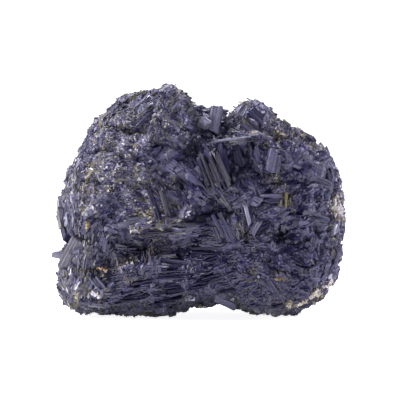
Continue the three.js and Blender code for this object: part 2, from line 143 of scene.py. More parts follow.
def mass_surface(turn, pitch):
    """The place and outward direction on the mass. turn goes round the outline from +X to +Z;
    pitch goes from the middle of the front (0) over the rim to the middle of the back (pi).
    x, z = reach(turn) * sin(pitch)^0.72 in the direction turn, y = -cos(pitch)^0.8 * depth."""
    outward, back = np.sin(pitch), -np.cos(pitch)
    depth = np.where(back < 0, FRONT_DEPTH, BACK_DEPTH)
    reach = outline_reach(turn)
    share = outward**OUTLINE_SQUARENESS
    place = np.stack([
        reach * share * np.cos(turn),
        np.sign(back) * np.abs(back) ** DEPTH_SQUARENESS * depth,
        MIDDLE_HEIGHT + reach * share * np.sin(turn)], axis=-1)
    rim = outward ** (2 - OUTLINE_SQUARENESS) / reach
    normal = unit(np.stack([
        rim * np.cos(turn),
        np.sign(back) * np.abs(back) ** (2 - DEPTH_SQUARENESS) / depth,
        rim * np.sin(turn)], axis=-1))
    return place + normal * relief_height(place, normal)[..., None], normal


def linear(code):
    """An sRGB hex code as linear red, green and blue."""
    channel = np.array([int(code[i:i + 2], 16) for i in (1, 3, 5)]) / 255
    return np.where(channel <= 0.04045, channel / 12.92, ((channel + 0.055) / 1.055) ** 2.4)


def add_node(tree, kind, links=(), **settings):
    """Adds a node, sets its properties and inputs, and links inputs to other nodes' outputs.
    A setting that is no property of the node is the input of that name; links are rows of
    (input, node, output)."""
    node = tree.nodes.new(kind)
    for name, value in settings.items():
        if hasattr(node, name):
            setattr(node, name, value)
        else:
            node.inputs[name.replace("_", " ")].default_value = value
    for socket, source, output in links:
        tree.links.new(source.outputs[output], node.inputs[socket])
    return node


def new_material(name, **values):
    """A material, its node tree and its Principled shader with these inputs set."""
    material = bpy.data.materials.new(name)
    material.use_nodes = True
    shader = material.node_tree.nodes["Principled BSDF"]
    for socket, value in values.items():
        shader.inputs[socket.replace("_", " ")].default_value = value
    return material, material.node_tree, shader


def flecks(tree, place, tint, under, size, low, high, code):
    """Mixes a colour into the colour under it where noise of a size in millimetres passes from
    low to high, as strongly as the tint's alpha says. Gives the mix and its output."""
    noise = add_node(tree, "ShaderNodeTexNoise", [("Vector", place, "Object")],
                     Scale=1 / (size * MM), Detail=2.0)
    passed = add_node(tree, "ShaderNodeMapRange", [("Value", noise, "Fac")],
                      From_Min=low, From_Max=high)
    share = add_node(tree, "ShaderNodeMath", [(0, passed, "Result"), (1, tint, "Alpha")],
                     operation="MULTIPLY")
    mix = add_node(tree, "ShaderNodeMix", [(0, share, "Value"), (6, *under)], data_type="RGBA")
    mix.inputs[7].default_value = (*linear(code), 1)
    return mix, 2


def epidote_material(name, base_code, striation_bump):
    """Epidote: vitreous, very dark violet grey, IOR 1.75, its prism faces striped along their
    length by growth and its broken faces uneven. Each crystal's own colour comes from its tint;
    base_code is its overall colour for a viewer that doesn't use the nodes."""
    material, tree, shader = new_material(name, IOR=1.75)
    place = add_node(tree, "ShaderNodeTexCoord")
    grain = add_node(tree, "ShaderNodeUVMap", uv_map="grain")
    tint = add_node(tree, "ShaderNodeAttribute", attribute_name="tint")
    # Mottling 1.6 mm across and finer, and striations 0.4 mm apart and about 7 mm long.
    mottle = add_node(tree, "ShaderNodeTexNoise", [("Vector", place, "Object")],
                      Scale=1 / (1.6 * MM), Detail=6.0, Roughness=0.78)
    stretch = add_node(tree, "ShaderNodeMapping", [("Vector", grain, "UV")],
                       Scale=(1 / 0.4, 1 / 7.0, 1.0))
    striation = add_node(tree, "ShaderNodeTexNoise", [("Vector", stretch, "Vector")],
                         noise_dimensions="2D", Scale=1.0, Detail=3.0, Roughness=0.7)
    shade = add_node(tree, "ShaderNodeMapRange", [("Value", mottle, "Fac")],
                     From_Min=0.3, From_Max=0.7, To_Min=0.58, To_Max=1.42)
    streak = add_node(tree, "ShaderNodeMapRange", [("Value", striation, "Fac")],
                      From_Min=0.3, From_Max=0.7, To_Min=0.62, To_Max=1.38)
    both = add_node(tree, "ShaderNodeMath", [(0, shade, "Result"), (1, streak, "Result")],
                    operation="MULTIPLY")
    # Olive stains 1.5 mm across, and pale flecks of 0.4 mm, partly grains and partly painted
    # glints, where the tint's alpha lets them.
    stained = flecks(tree, place, tint, (tint, "Color"), 1.5, 0.52, 0.62, "#4d4a30")
    flecks_and_glints = flecks(tree, place, tint, stained, 0.4, 0.65, 0.7, "#a59d84")
    colour = add_node(tree, "ShaderNodeMix", [(6, *flecks_and_glints), (7, both, "Value")],
                      data_type="RGBA", blend_type="MULTIPLY", Factor=1.0)
    tree.links.new(colour.outputs[2], shader.inputs["Base Color"])
    gloss = add_node(tree, "ShaderNodeMapRange", [("Value", mottle, "Fac")],
                     To_Min=0.2, To_Max=0.6)
    tree.links.new(gloss.outputs["Result"], shader.inputs["Roughness"])
    uneven = add_node(tree, "ShaderNodeBump", [("Height", mottle, "Fac")],
                      Strength=0.7, Distance=0.16 * MM)
    striped = add_node(tree, "ShaderNodeBump",
                       [("Height", striation, "Fac"), ("Normal", uneven, "Normal")],
                       Strength=striation_bump, Distance=0.15 * MM)
    tree.links.new(striped.outputs["Normal"], shader.inputs["Normal"])
    material.diffuse_color = (*linear(base_code), 1.0)
    return material


def new_piece(name, places, corners, sizes, tint, grain, bake, material):
    """A flat-shaded piece from whole arrays: places in the lump's millimetres, the vertex of
    every face corner, the number of corners of each face, a colour and a share of flecks for each
    vertex, and two UV places for each face corner: millimetres along the surface, and the room on
    the baked map."""
    mesh = bpy.data.meshes.new(name)
    rested = places - BOX_MIDDLE
    rested[:, 2] = np.maximum(rested[:, 2], 0.0)
    mesh.vertices.add(len(rested))
    mesh.vertices.foreach_set("co", (rested * MM).ravel())
    mesh.loops.add(len(corners))
    mesh.loops.foreach_set("vertex_index", corners.astype(np.int32))
    mesh.polygons.add(len(sizes))
    starts = np.cumsum(sizes) - sizes
    mesh.polygons.foreach_set("loop_start", starts.astype(np.int32))
    mesh.update(calc_edges=True)
    mesh.shade_flat()
    colours = mesh.attributes.new("tint", "FLOAT_COLOR", "POINT")
    colours.data.foreach_set("color", tint.ravel())
    for layer, values in (("grain", grain), ("OFBake", bake)):
        mesh.uv_layers.new(name=layer).data.foreach_set("uv", values.ravel())
    mesh.materials.append(material)
    piece = bpy.data.objects.new(name, mesh)
    bpy.context.scene.collection.objects.link(piece)
    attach(piece, "root")
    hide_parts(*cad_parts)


def mass_piece(material):
    """The mass as a closed grid of turns and pitches with one vertex at each pole. Every other
    vertex stands a little in or out along the normal, so that each facet breaks its own way."""
    chance = np.random.default_rng(11)
    turn = np.arange(MASS_TURNS) * 2 * np.pi / MASS_TURNS
    pitch = np.linspace(0, np.pi, MASS_PITCHES + 1)
    turns, pitches = np.meshgrid(turn, pitch[1:-1])
    ring_places, ring_normals = mass_surface(turns, pitches)
    broken = FACET_BREAK * (2 * chance.random(turns.shape) - 1) * np.minimum(1, 3 * np.sin(pitches))
    ring_places = ring_places + ring_normals * broken[..., None]
    poles, _ = mass_surface(np.zeros(2), np.array([0, np.pi]))
    places = np.vstack([poles, ring_places.reshape(-1, 3)])
    ring = 2 + np.arange((MASS_PITCHES - 1) * MASS_TURNS).reshape(MASS_PITCHES - 1, MASS_TURNS)
    after = np.roll(ring, -1, axis=1)
    front = np.stack([np.zeros_like(ring[0]), after[0], ring[0]], axis=-1)
    quads = np.stack([ring[:-1], after[:-1], after[1:], ring[1:]], axis=-1).reshape(-1, 4)
    back = np.stack([np.ones_like(ring[0]), ring[-1], after[-1]], axis=-1)
    corners = np.concatenate([front.ravel(), quads.ravel(), back.ravel()])
    sizes = np.concatenate([np.full(len(front), 3), np.full(len(quads), 4), np.full(len(back), 3)])
    column = np.concatenate([[0, 0], np.tile(np.arange(MASS_TURNS), MASS_PITCHES - 1)])
    row = np.concatenate([[0, MASS_PITCHES], np.repeat(np.arange(1, MASS_PITCHES), MASS_TURNS)])
    share = np.stack([column / MASS_TURNS, row / MASS_PITCHES], axis=-1)[corners]
    grain = places[corners][:, [0, 2]]
    tint = np.tile([*linear(MASS_COLOUR), MASS_FLECKS_AND_GLINTS], (len(places), 1))
    new_piece("intergrown_mass", places, corners, sizes, tint, grain, share, material)


mass_piece(epidote_material("Epidote_intergrown", "#2c2b3a", 0.2))

# ---------------------------------------------------------------------------------------------
# The big crystals of the show face. Epidote grows as long flattened prisms, striped along their
# length; here each is a bundle of a few that grew side by side and broke off at their own length.
# The rows give where each lies, how it is turned and how far it stands out of the mass.
# ---------------------------------------------------------------------------------------------
STANDING_PROUD = 0.35  # a crystal's broad face above the mass, before its own extra height
TURNED_TO_FRONT = 0.8  # how far its broad face turns from the mass's own side towards the front
# How much the prisms of one bundle differ in turn about their axis, which those of a sheaf do
# too, in direction and in height above the mass.
PRISM_ROLL = np.radians(9)
PRISM_SKEW = np.radians(2.5)
PRISM_LIFT = 0.16

# The colours that the crystals have in themselves, before gloss, and how often each shows in a
# tone. The glints tone is partly pale crystals and partly painted glints of the lit crust.
PALETTE = {
    "navy": "#120f35", "slate": "#2a2846", "brown": "#3f3630", "olive": "#4a4935", "drab": "#45444b",
    "lilac": "#4a4a63", "light": "#636470", "yellow": "#6f6b3c", "cream": "#aea88c",
    "white": "#bfbec3", "silver": "#7a7b89", "gold": "#8a8350",
}
TONES = {
    "slate": {"navy": 14, "slate": 58, "olive": 10, "drab": 8, "lilac": 3, "light": 7},
    "dark": {"navy": 54, "slate": 46},
    "navy": {"navy": 88, "slate": 12},
    "olive": {"slate": 36, "brown": 5, "olive": 42, "light": 11, "yellow": 6},
    "light": {"slate": 28, "olive": 10, "lilac": 14, "light": 45, "white": 3},
    "glints": {"slate": 25, "olive": 19, "light": 38, "cream": 10, "white": 8},
    "lilac": {"slate": 30, "lilac": 54, "light": 16},
    "brown": {"slate": 28, "brown": 42, "olive": 24, "cream": 6},
    "yellow": {"slate": 20, "olive": 40, "yellow": 30, "cream": 10},
    "cream": {"slate": 15, "brown": 15, "light": 20, "cream": 35, "white": 15},
    "pale": {"lilac": 60, "light": 40},
    "drab": {"slate": 20, "drab": 62, "light": 18},
    "ledge": {"slate": 30, "olive": 10, "drab": 34, "light": 20, "cream": 6},
    "white": {"light": 15, "white": 85},
    "silver": {"light": 20, "silver": 80},
    "lichen": {"olive": 10, "yellow": 8, "gold": 26, "light": 26, "cream": 30},
    "mossy": {"slate": 17, "olive": 26, "drab": 15, "light": 28, "yellow": 6, "cream": 6, "white": 2},
}
# The share on a tone of olive stains and of pale flecks, which are partly painted glints.
FLECKS_AND_GLINTS = {"glints": 0.9, "mossy": 0.9, "lichen": 0.8, "light": 0.6, "olive": 0.8, "yellow": 1.0,
           "cream": 1.0, "brown": 0.7, "dark": 0.1, "navy": 0.05, "white": 0.1}
FLECKS_AND_GLINTS_ELSEWHERE = 0.35
SHADE_SPREAD = 0.13  # the natural logarithm's, from crystal to crystal of one colour

# x, z, lean, tilt, length, width, depth, extra height, prisms in the bundle, tone. Lean turns the
# long axis from level towards upright as seen from the front; tilt lifts it out of the face. The
# tones are partly the crystals' colour and partly painted light and shade: pale and silver where
# the light falls, navy and dark on the shaded slab and hollows.
BIG_CRYSTALS = [
    # the left top
    (-7.2, 55.2, 62, 6, 5, 4, 4, 0, 4, "light"), (-11.5, 55.8, 35, 8, 5, 3.6, 4, 0.1, 4, "light"),
    (-3.6, 54.6, -60, 10, 4.4, 3, 3.6, -0.3, 4, "light"), (-15, 56.6, 20, 5, 4, 2.6, 3, 0.2, 2, "olive"),
    (-20.5, 55, 35, 10, 4.4, 3, 2.8, 0, 3, "lilac"), (-2.8, 52.6, 35, 0, 3.6, 1.2, 2, 0.6, 2, "olive"),
    # the notch between the tops
    (4.1, 50.5, 80, 0, 4.5, 3.6, 3.2, 1, 1, "silver"),
    (1.2, 49.9, -35, 10, 3.6, 2.6, 2.8, 1.1, 1, "silver"),
    (1.4, 53, 12, 0, 3.4, 2.2, 2.8, 0.7, 2, "light"), (-3, 49.5, -35, 5, 4.4, 2.6, 2.8, 0, 3, "olive"),
    # the right top
    (11.4, 53, 62, 5, 3.4, 2.4, 3.4, 0.5, 2, "silver"), (14.6, 51.5, -44, 5, 4.2, 3, 4, 1.1, 1, "navy"),
    (18.3, 50.8, -42, 5, 5, 2, 2.8, 0.2, 4, "lichen"), (22.5, 49, -35, 10, 4, 2.6, 2.8, 0, 4, "lichen"),
    (27, 46.2, -25, 5, 5, 2.4, 2.8, -0.2, 4, "light"), (30.8, 43.4, -30, 5, 4, 2.4, 2.8, -0.2, 3, "pale"),
    (24.5, 43, -12, 0, 10, 3, 2.8, -0.1, 4, "slate"), (31.5, 41.4, -20, 0, 6, 2.2, 2.6, 0.2, 2, "pale"),
    (13.5, 48.8, -45, 5, 5, 2.4, 2.4, 0, 3, "slate"), (27, 39.2, -20, -7, 12, 3.6, 2.6, 0.15, 1, "lilac"),
    (30.5, 35.4, -20, 0, 7, 2.6, 2.6, 0.3, 1, "slate"),
    # the light ledge, its thin silver crystal partly painted light along the edge, and the plates
    # below it
    (8.8, 45.8, 8, 0, 9.5, 0.6, 2.6, 1.3, 1, "silver"), (14, 46.2, 3, 0, 3.8, 1.6, 2.8, 0.3, 3, "slate"),
    (10, 40.6, -80, 0, 9, 2.2, 2.4, 0, 2, "navy"), (6.5, 41, -80, 0, 9.5, 2, 2.2, 0.3, 2, "navy"),
    (12, 43.4, -78, 0, 5.4, 1.6, 2.4, 0.5, 1, "slate"), (15, 42, -72, 0, 5, 1.6, 2.4, 0.2, 2, "slate"),
    (19, 40.3, 80, 5, 5, 3, 3, 0.5, 2, "pale"), (17, 36.5, -70, 5, 5, 2.2, 2.4, -0.2, 3, "dark"),
    # the fan of blades
    (1.8, 37.2, -68, 0, 11, 2.1, 2.2, 0.5, 5, "drab"),
    (3.8, 37.8, -66, 0, 10.5, 2.1, 2.2, 0.55, 5, "drab"),
    (5.7, 38.4, -65, 0, 9.5, 2, 2.2, 0.5, 5, "drab"), (-1, 36.6, -47, 0, 9, 0.5, 1.8, 0.4, 1, "drab"),
    (-3, 35.4, -47, 0, 6.5, 0.5, 1.8, 0.4, 1, "drab"), (-11, 29.5, -75, 0, 8, 1.6, 2.2, 0.2, 3, "slate"),
    (-8.2, 29.5, -72, 0, 9, 1.2, 2.2, 0.4, 2, "drab"), (-5, 30, -68, 0, 8, 1.3, 2.2, 0.4, 2, "drab"),
    # right of the middle
    (11.9, 28.4, -76, 0, 7.5, 1.1, 2.4, 1.7, 1, "silver"),
    (14.6, 30.4, -20, 0, 3, 3.2, 2.8, 0.7, 1, "pale"),
    (5.6, 23.6, -66, 0, 7.5, 3.4, 2.8, 0.2, 4, "slate"), (9.6, 22.6, -76, 0, 6, 2, 2.6, 0.1, 3, "drab"),
    (14.2, 24, 62, 0, 5, 1.6, 2.6, 0.4, 2, "pale"), (11.5, 35.5, 80, 10, 4, 2.6, 3, 0, 3, "slate"),
    (22.2, 30, 88, 0, 3.4, 1.4, 2.8, 0.5, 2, "olive"), (18.4, 31, 6, 0, 5, 2.6, 2.8, 0.2, 4, "lilac"),
    (20.5, 27, 40, 0, 4.4, 2.6, 3, 0.3, 1, "navy"), (30.8, 37.6, 20, 10, 2.4, 1.8, 2.6, 0.6, 1, "silver"),
    (28.3, 33, 40, 10, 3, 2, 3, 0.5, 2, "pale"), (30, 26, -12, 0, 6.5, 2.8, 3, 0.3, 4, "lilac"),
    (34.8, 23, 75, 0, 4.4, 2.2, 2.8, 0, 3, "light"), (33.5, 36.5, -80, 0, 5, 2.4, 2.8, 0, 3, "slate"),
    (17, 24.5, 20, 0, 5, 2.2, 2.6, 0, 3, "dark"), (29, 18.5, 75, 5, 5, 2.6, 2.8, 0, 3, "slate"),
    (34.5, 16, 70, 5, 4.4, 2.4, 2.6, 0, 3, "slate"), (33, 10.8, 30, 0, 1.8, 1.4, 2, 0.7, 1, "white"),
    # the right foot
    (28.5, 10, 70, 0, 5.5, 3.4, 3.4, 0, 4, "slate"), (24, 15, -25, 5, 6, 3, 3, 0, 4, "dark"),
    (27.5, 4.4, 20, 0, 5.5, 2.6, 3, 0, 3, "slate"), (20.5, 4.4, 8, 0, 5.5, 2.4, 2.8, 0, 3, "slate"),
    (18.5, 14, 50, 0, 5, 2.6, 3, 0, 3, "dark"), (20, 9, -55, 5, 5, 2.6, 3, 0, 3, "slate"),
    (12.5, 10, 20, 0, 5.5, 2.6, 2.8, 0, 3, "dark"), (6.2, 5.4, -33, 0, 4.6, 2.2, 3, 1.7, 1, "pale"),
    # the shelf over the hollow
    (-9, 23, 3, 0, 11, 1.3, 3.2, 0.9, 4, "ledge"), (-3.4, 24.4, 4, 0, 7, 1.2, 2.8, 0.8, 4, "ledge"),
    (-15.5, 25.5, 10, 0, 6, 1.6, 4.2, 0.3, 3, "drab"), (-12.2, 16, 82, 0, 7, 1.4, 2.6, 0.1, 4, "brown"),
    (-17.6, 12.6, -70, 0, 6, 3.6, 2.6, -0.3, 3, "brown"),
    (-14.4, 13.4, 60, 0, 4, 2.4, 2.6, -0.3, 2, "navy"),
    # the slab below it
    (3, 17.8, 0, 0, 13, 2.4, 2.6, 0.3, 6, "navy"), (3.5, 15.2, 20, 0, 12, 2.2, 2.6, 0.45, 6, "dark"),
    (-5, 14.6, -6, 0, 9, 2, 2.6, 0.4, 5, "dark"), (-7, 11.8, 4, 0, 12, 2.2, 2.6, 0.4, 6, "dark"),
    (5.5, 11.6, 16, 0, 11, 2.4, 2.6, 0.35, 6, "dark"), (-3, 8.8, 12, 0, 12, 2.2, 2.6, 0.4, 6, "dark"),
    (6, 8, 10, 0, 9, 2.2, 2.8, 0.3, 5, "slate"), (-15, 8.4, 17, 0, 10, 0.9, 2.6, 0.6, 2, "pale"),
    (-12.5, 9.8, 12, 0, 9, 1.8, 2.6, 0.35, 5, "dark"), (-17, 5.6, 12, 0, 10, 2, 2.6, 0.3, 5, "dark"),
    (-8, 5.6, 8, 0, 8, 1.8, 2.6, 0.25, 5, "navy"), (-13, 2.8, 6, 0, 6, 2.6, 2.6, 0.1, 5, "slate"),
    # the left edge
    (-32.6, 16.9, 58, 0, 9.5, 3.4, 3.6, 0.6, 1, "drab"),
    (-35.7, 15.8, 176, 0, 3.6, 1.5, 2, 0.2, 1, "lilac"), (-34.5, 26, 84, 5, 5, 3, 3.2, -0.2, 2, "navy"),
    # the thin white and cream laths are partly painted glints of the left edge
    (-34, 22, -75, 5, 4, 3, 3.2, -0.2, 2, "navy"), (-31.6, 25.6, 84, 0, 6, 0.6, 2.2, 0.5, 1, "white"),
    (-29.9, 20.6, 88, 0, 5, 0.5, 2.2, 0.5, 1, "white"),
    (-26.6, 20.6, 84, 0, 5.6, 0.6, 2.2, 0.5, 1, "cream"),
    (-24, 19.8, 78, 0, 4.2, 1.7, 2.2, 0.2, 2, "lilac"),
    (-28.6, 14.6, 78, 0, 5.4, 0.9, 2.2, 0.4, 2, "light"),
    (-25.2, 9.6, -50, 5, 5, 1.9, 2.4, 0.4, 4, "pale"),
    (-22.6, 9.4, 35, 5, 3.6, 1.6, 2.4, 0.35, 3, "lilac"), (-32.8, 7, 84, 0, 5, 1.2, 2.4, 0.2, 2, "light"),
    (-30, 6, 75, 0, 5, 1, 2.4, 0.3, 2, "glints"),
    # the left crust
    (-6.9, 39.7, -35, 5, 4.6, 3, 2.8, 0.4, 2, "lilac"), (-11.5, 46.6, 70, 0, 4, 2.6, 2.8, 0, 2, "slate"),
    (-10.8, 42.6, 70, 0, 3.4, 2.4, 2.8, 0.2, 1, "navy"),
    (-21.5, 53.5, 40, 0, 4.4, 2.6, 2.6, 0, 3, "lilac"), (-30, 40.5, 66, 0, 4, 1.4, 2.4, 0.3, 1, "pale"),
    (-15, 50.5, 45, 0, 6, 1.2, 2.6, 0.2, 3, "lilac"), (-12.5, 52.4, 42, 0, 6, 1.1, 2.6, 0.2, 3, "lilac"),
]


def table_columns(rows, count):
    """The first count values of all rows, as one array for each value."""
    return np.array([row[:count] for row in rows], float).T


def square_to(axis, vectors):
    """The part of each vector that lies square to its axis, at length 1."""
    return unit(vectors - (vectors * axis).sum(axis=1, keepdims=True) * axis)


def turned(start, towards, angle):
    """start * cos(angle) + towards * sin(angle), for directions that lie square to each other."""
    return start * np.cos(angle)[:, None] + towards * np.sin(angle)[:, None]


def seen_along(normal, lean, tilt, laid):
    """The direction at lean degrees from level towards upright in a front view, laid along the
    surface by the share laid, and then lifted towards the front by tilt degrees."""
    lean, tilt = np.radians(lean), np.radians(tilt)
    in_plane = np.stack([np.cos(lean), np.zeros_like(lean), np.sin(lean)], axis=-1)
    into = (in_plane * normal).sum(axis=1) * laid
    axis = unit(in_plane - into[:, None] * normal) * np.cos(tilt)[:, None]
    axis[:, 1] -= np.sin(tilt)
    return unit(axis)


def show_face_at(x, z):
    """The place of the show face that lies at x, z, and the direction out of it."""
    up = z - MIDDLE_HEIGHT
    turn = np.arctan2(up, x)
    share = np.minimum(1, np.hypot(x, up) / outline_reach(turn))
    place, normal = mass_surface(turn, np.arcsin(share ** (1 / OUTLINE_SQUARENESS)))
    return np.stack([x, place[:, 1], z], axis=-1), normal


def tints(tones, draw, chance):
    """A colour for each tone name: the one of the palette on which its draw, from 0 to 1, falls
    when that tone's shares are laid end to end, a little lighter or darker for each crystal."""
    names, number = np.unique(tones, return_inverse=True)
    flecks_and_glints = np.array([FLECKS_AND_GLINTS.get(name, FLECKS_AND_GLINTS_ELSEWHERE) for name in names])[number]
    shares = np.array([[TONES[name].get(colour, 0) for colour in PALETTE] for name in names], float)
    ladder = np.cumsum(shares / shares.sum(axis=1, keepdims=True), axis=1)[number]
    pick = np.minimum((draw[:, None] > ladder).sum(axis=1), len(PALETTE) - 1)
    colours = np.array([linear(code) for code in PALETTE.values()])[pick]
    shade = np.exp(chance.normal(0, SHADE_SPREAD, (len(tones), 1)))
    return np.hstack([colours * shade, flecks_and_glints[:, None]])


def row_of_each(count):
    """The number of the row that each of all the rows' prisms belongs to."""
    return np.repeat(np.arange(len(count)), count.astype(int))


# A prism's ends slant by a normal draw of END_SLOPE, up to STEEPEST_END. Its striations start at a
# random place of the noise.
END_SLOPE = 0.5
STEEPEST_END = 1.1
NOISE_REACH = 40
# Its cell of the baked map, in shares of the cell, has the sides unrolled below and the ends as
# two discs above them.
CELL_MARGIN = 0.06
SIDES_WIDTH = 0.88
SIDES_HEIGHT = 0.6
END_RADIUS = 0.11
END_CENTRES = [0.25, 0.83], [0.72, 0.83]


def prism_piece(name, crystals, section, rings, ruggedness, chance, material):
    """Prisms as a profile carried along their axes. section rows are [side, out] corners as shares
    of width and depth; rings rows are [end, inset, girth]: which end (-1 or 1), how far inside it
    as a share of the width, and the size of the section there. Corner (ring r, corner k) is at
    middle + side * width * x_k * girth_r + out * depth * y_k * girth_r
    + axis * (end_r * (length / 2 - inset_r * width) + the slant of that end at x_k, y_k)."""
    count, turns, corners = len(crystals["width"]), len(rings), len(section)
    axis = crystals["axis"]
    out = square_to(axis, crystals["out"])
    side = np.cross(out, axis)
    size = np.stack([crystals["width"], crystals["depth"]], axis=-1)
    uneven = 1 + ruggedness * (2 * chance.random((count, turns, corners, 1)) - 1)
    flat = section * size[:, None, None, :] * rings[:, 2][:, None, None] * uneven
    slopes = np.clip(chance.normal(0, END_SLOPE, (count, 2, 2)), -STEEPEST_END, STEEPEST_END)
    slope = slopes[:, (rings[:, 0] > 0).astype(int)]
    slant = (flat * slope[:, :, None, :]).sum(axis=-1)
    reach = crystals["length"][:, None] / 2 - rings[:, 1] * crystals["width"][:, None]
    along = (rings[:, 0] * reach)[:, :, None] + slant
    places = (crystals["middle"][:, None, None] + side[:, None, None] * flat[..., :1]
              + out[:, None, None] * flat[..., 1:] + axis[:, None, None] * along[..., None])

    one = np.arange(turns * corners).reshape(turns, corners)
    after = np.roll(one, -1, axis=1)
    sides = np.stack([one[:-1], after[:-1], after[1:], one[1:]], axis=-1).reshape(-1, 4)
    pattern = np.concatenate([sides.ravel(), one[0][::-1], one[-1]])
    sizes = np.concatenate([np.full(len(sides), 4), [corners, corners]])
    face_corners = (np.arange(count)[:, None] * turns * corners + pattern).ravel()

    # Millimetres along the surface: round the girth, and along the axis.
    edge = np.linalg.norm(np.roll(flat, -1, axis=2) - flat, axis=-1).mean(axis=1)
    girth = np.concatenate([np.zeros((count, 1)), np.cumsum(edge, axis=1)], axis=1)
    column = np.stack([np.arange(corners), np.arange(corners) + 1,
                       np.arange(corners) + 1, np.arange(corners)], axis=-1)
    columns = np.tile(column, (turns - 1, 1)).ravel()
    start = NOISE_REACH * chance.random((count, 2))
    side_grain = np.stack([girth[:, columns] + start[:, :1],
                           along.reshape(count, -1)[:, sides.ravel()] + start[:, 1:]], axis=-1)
    cap_order = np.concatenate([one[0][::-1], one[-1]])
    cap_grain = flat.reshape(count, -1, 2)[:, cap_order] + start[:, None]
    grain = np.concatenate([side_grain, cap_grain], axis=1).reshape(-1, 2)

    # The baked map's room.
    cells = int(np.ceil(np.sqrt(count)))
    ring_row = np.repeat(np.arange(turns - 1), corners * 4).reshape(-1, 4)
    up = (ring_row + np.array([0, 0, 1, 1])).ravel() / (turns - 1)
    side_room = np.stack([CELL_MARGIN + SIDES_WIDTH * columns / corners,
                          CELL_MARGIN + SIDES_HEIGHT * up], axis=-1)
    bend = 2 * np.pi * np.arange(corners) / corners
    disc = END_RADIUS * np.stack([np.cos(bend), np.sin(bend)], axis=-1)
    room = np.concatenate([side_room, disc[::-1] + END_CENTRES[0], disc + END_CENTRES[1]])
    cell = np.stack([np.arange(count) % cells, np.arange(count) // cells], axis=-1)
    bake = ((cell[:, None] + room) / cells).reshape(-1, 2)
    tint = np.repeat(crystals["tint"], turns * corners, axis=0)
    new_piece(name, places.reshape(-1, 3), face_corners, np.tile(sizes, count), tint, grain,
              bake, material)


def shared_draw(row, rows, chance):
    """A draw from 0 to 1 for each prism that is mostly its row's: 0.15 + 0.7 * the row's own draw
    + 0.2 * the prism's."""
    of_row = (0.15 + 0.7 * chance.random(len(rows)))[row]
    return np.clip(of_row + 0.2 * chance.normal(0, 1, len(row)), 0, 1)


def bundles(rows, chance):
    """Each row's crystal as prisms side by side: the width is shared out unevenly, and each prism
    has its own length, height and slight turn."""
    x, z, lean, tilt, length, width, depth, extra, count = table_columns(rows, 9)
    tones = np.array([row[9] for row in rows])
    place, normal = show_face_at(x, z)
    normal = unit(normal + np.array([0.0, -TURNED_TO_FRONT, 0.0]))
    axis = seen_along(normal, lean, tilt, np.maximum(0, -normal[:, 1]) ** 2)
    out = square_to(axis, normal)
    side = np.cross(out, axis)
    middle = place + out * (extra + STANDING_PROUD - depth / 2)[:, None]
    row = row_of_each(count)
    number = len(row)
    first = np.cumsum(count) - count
    step = (np.arange(number) - first[row] + 0.5) / count[row] - 0.5
    many = count[row] > 1
    prism_length = length[row] * np.where(many, 0.5 + 0.45 * chance.random(number), 1)
    slide = (chance.random(number) - 0.5) * (length[row] - prism_length) * many
    lift = np.where(many, PRISM_LIFT * chance.normal(0, 1, number), 0)
    roll = PRISM_ROLL * chance.normal(0, 1, number) * many
    skew = PRISM_SKEW * chance.normal(0, 1, number) * many
    return {
        "middle": middle[row] + side[row] * (step * width[row])[:, None]
                  + axis[row] * slide[:, None] + out[row] * lift[:, None],
        "axis": unit(axis[row] + side[row] * skew[:, None]),
        "out": turned(out[row], side[row], roll),
        "length": prism_length,
        "width": width[row] / count[row] * (1.0 + many * (0.12 + 0.5 * chance.random(number))),
        "depth": depth[row],
        "tint": tints(tones[row], shared_draw(row, rows, chance), chance),
    }


# The ribbed section: a broad face with shallow ribs, as growth leaves it, and two bevelled sides.
RIBBED = np.array([
    [-0.36, -0.5], [0.36, -0.5], [0.5, 0.0], [0.44, 0.42], [0.31, 0.5], [0.17, 0.475], [0.06, 0.5],
    [-0.07, 0.48], [-0.2, 0.5], [-0.31, 0.475], [-0.44, 0.43], [-0.5, 0.0],
])
BROKEN_ENDS = np.array([[-1, 0.0, 0.86], [-1, 0.1, 1.0], [1, 0.1, 0.97], [1, 0.0, 0.8]])

epidote = epidote_material("Epidote_crystals", "#3d3c4c", 0.55)
chance = np.random.default_rng(21)
prism_piece("big_crystals", bundles(BIG_CRYSTALS, chance), RIBBED, BROKEN_ENDS, 0.06, chance,
            epidote)

# ---------------------------------------------------------------------------------------------
# The crystals between them. The rest of the surface is the same mineral in patches a few
# millimetres across; within a patch the crystals lie almost the same way and are of one kind,
# from fine crust to fibres, blades and blocks. They are grown into the mass and each other.
# ---------------------------------------------------------------------------------------------

# Kind of growth: spread of lean, tilt and roll in degrees, length, width, depth as a share of
# the width, height of the top above the mass, and crystals for each square millimetre.
GROWTH = {
    "crust": (80, 40, 180, 0.62, 0.48, 0.95, 0.15, 8.0),
    "grains": (80, 40, 180, 0.78, 0.66, 0.95, 0.18, 5.6),
    "jumble": (70, 36, 160, 1.1, 0.9, 0.9, 0.22, 3.4),
    "fibres": (12, 7, 60, 1.9, 0.3, 1.0, 0.12, 6.0),
    "blades": (14, 9, 45, 2.0, 0.46, 0.9, 0.14, 4.0),
    "blocks": (40, 20, 64, 1.4, 1.1, 0.9, 0.18, 2.5),
    "plates": (22, 9, 28, 2.0, 1.2, 0.8, 0.11, 1.8),
    "streaks": (11, 2, 15, 2.2, 0.42, 0.95, 0.06, 5.6),
    "smooth": (12, 8, 20, 2.8, 1.5, 0.7, 0.06, 1.0),
}
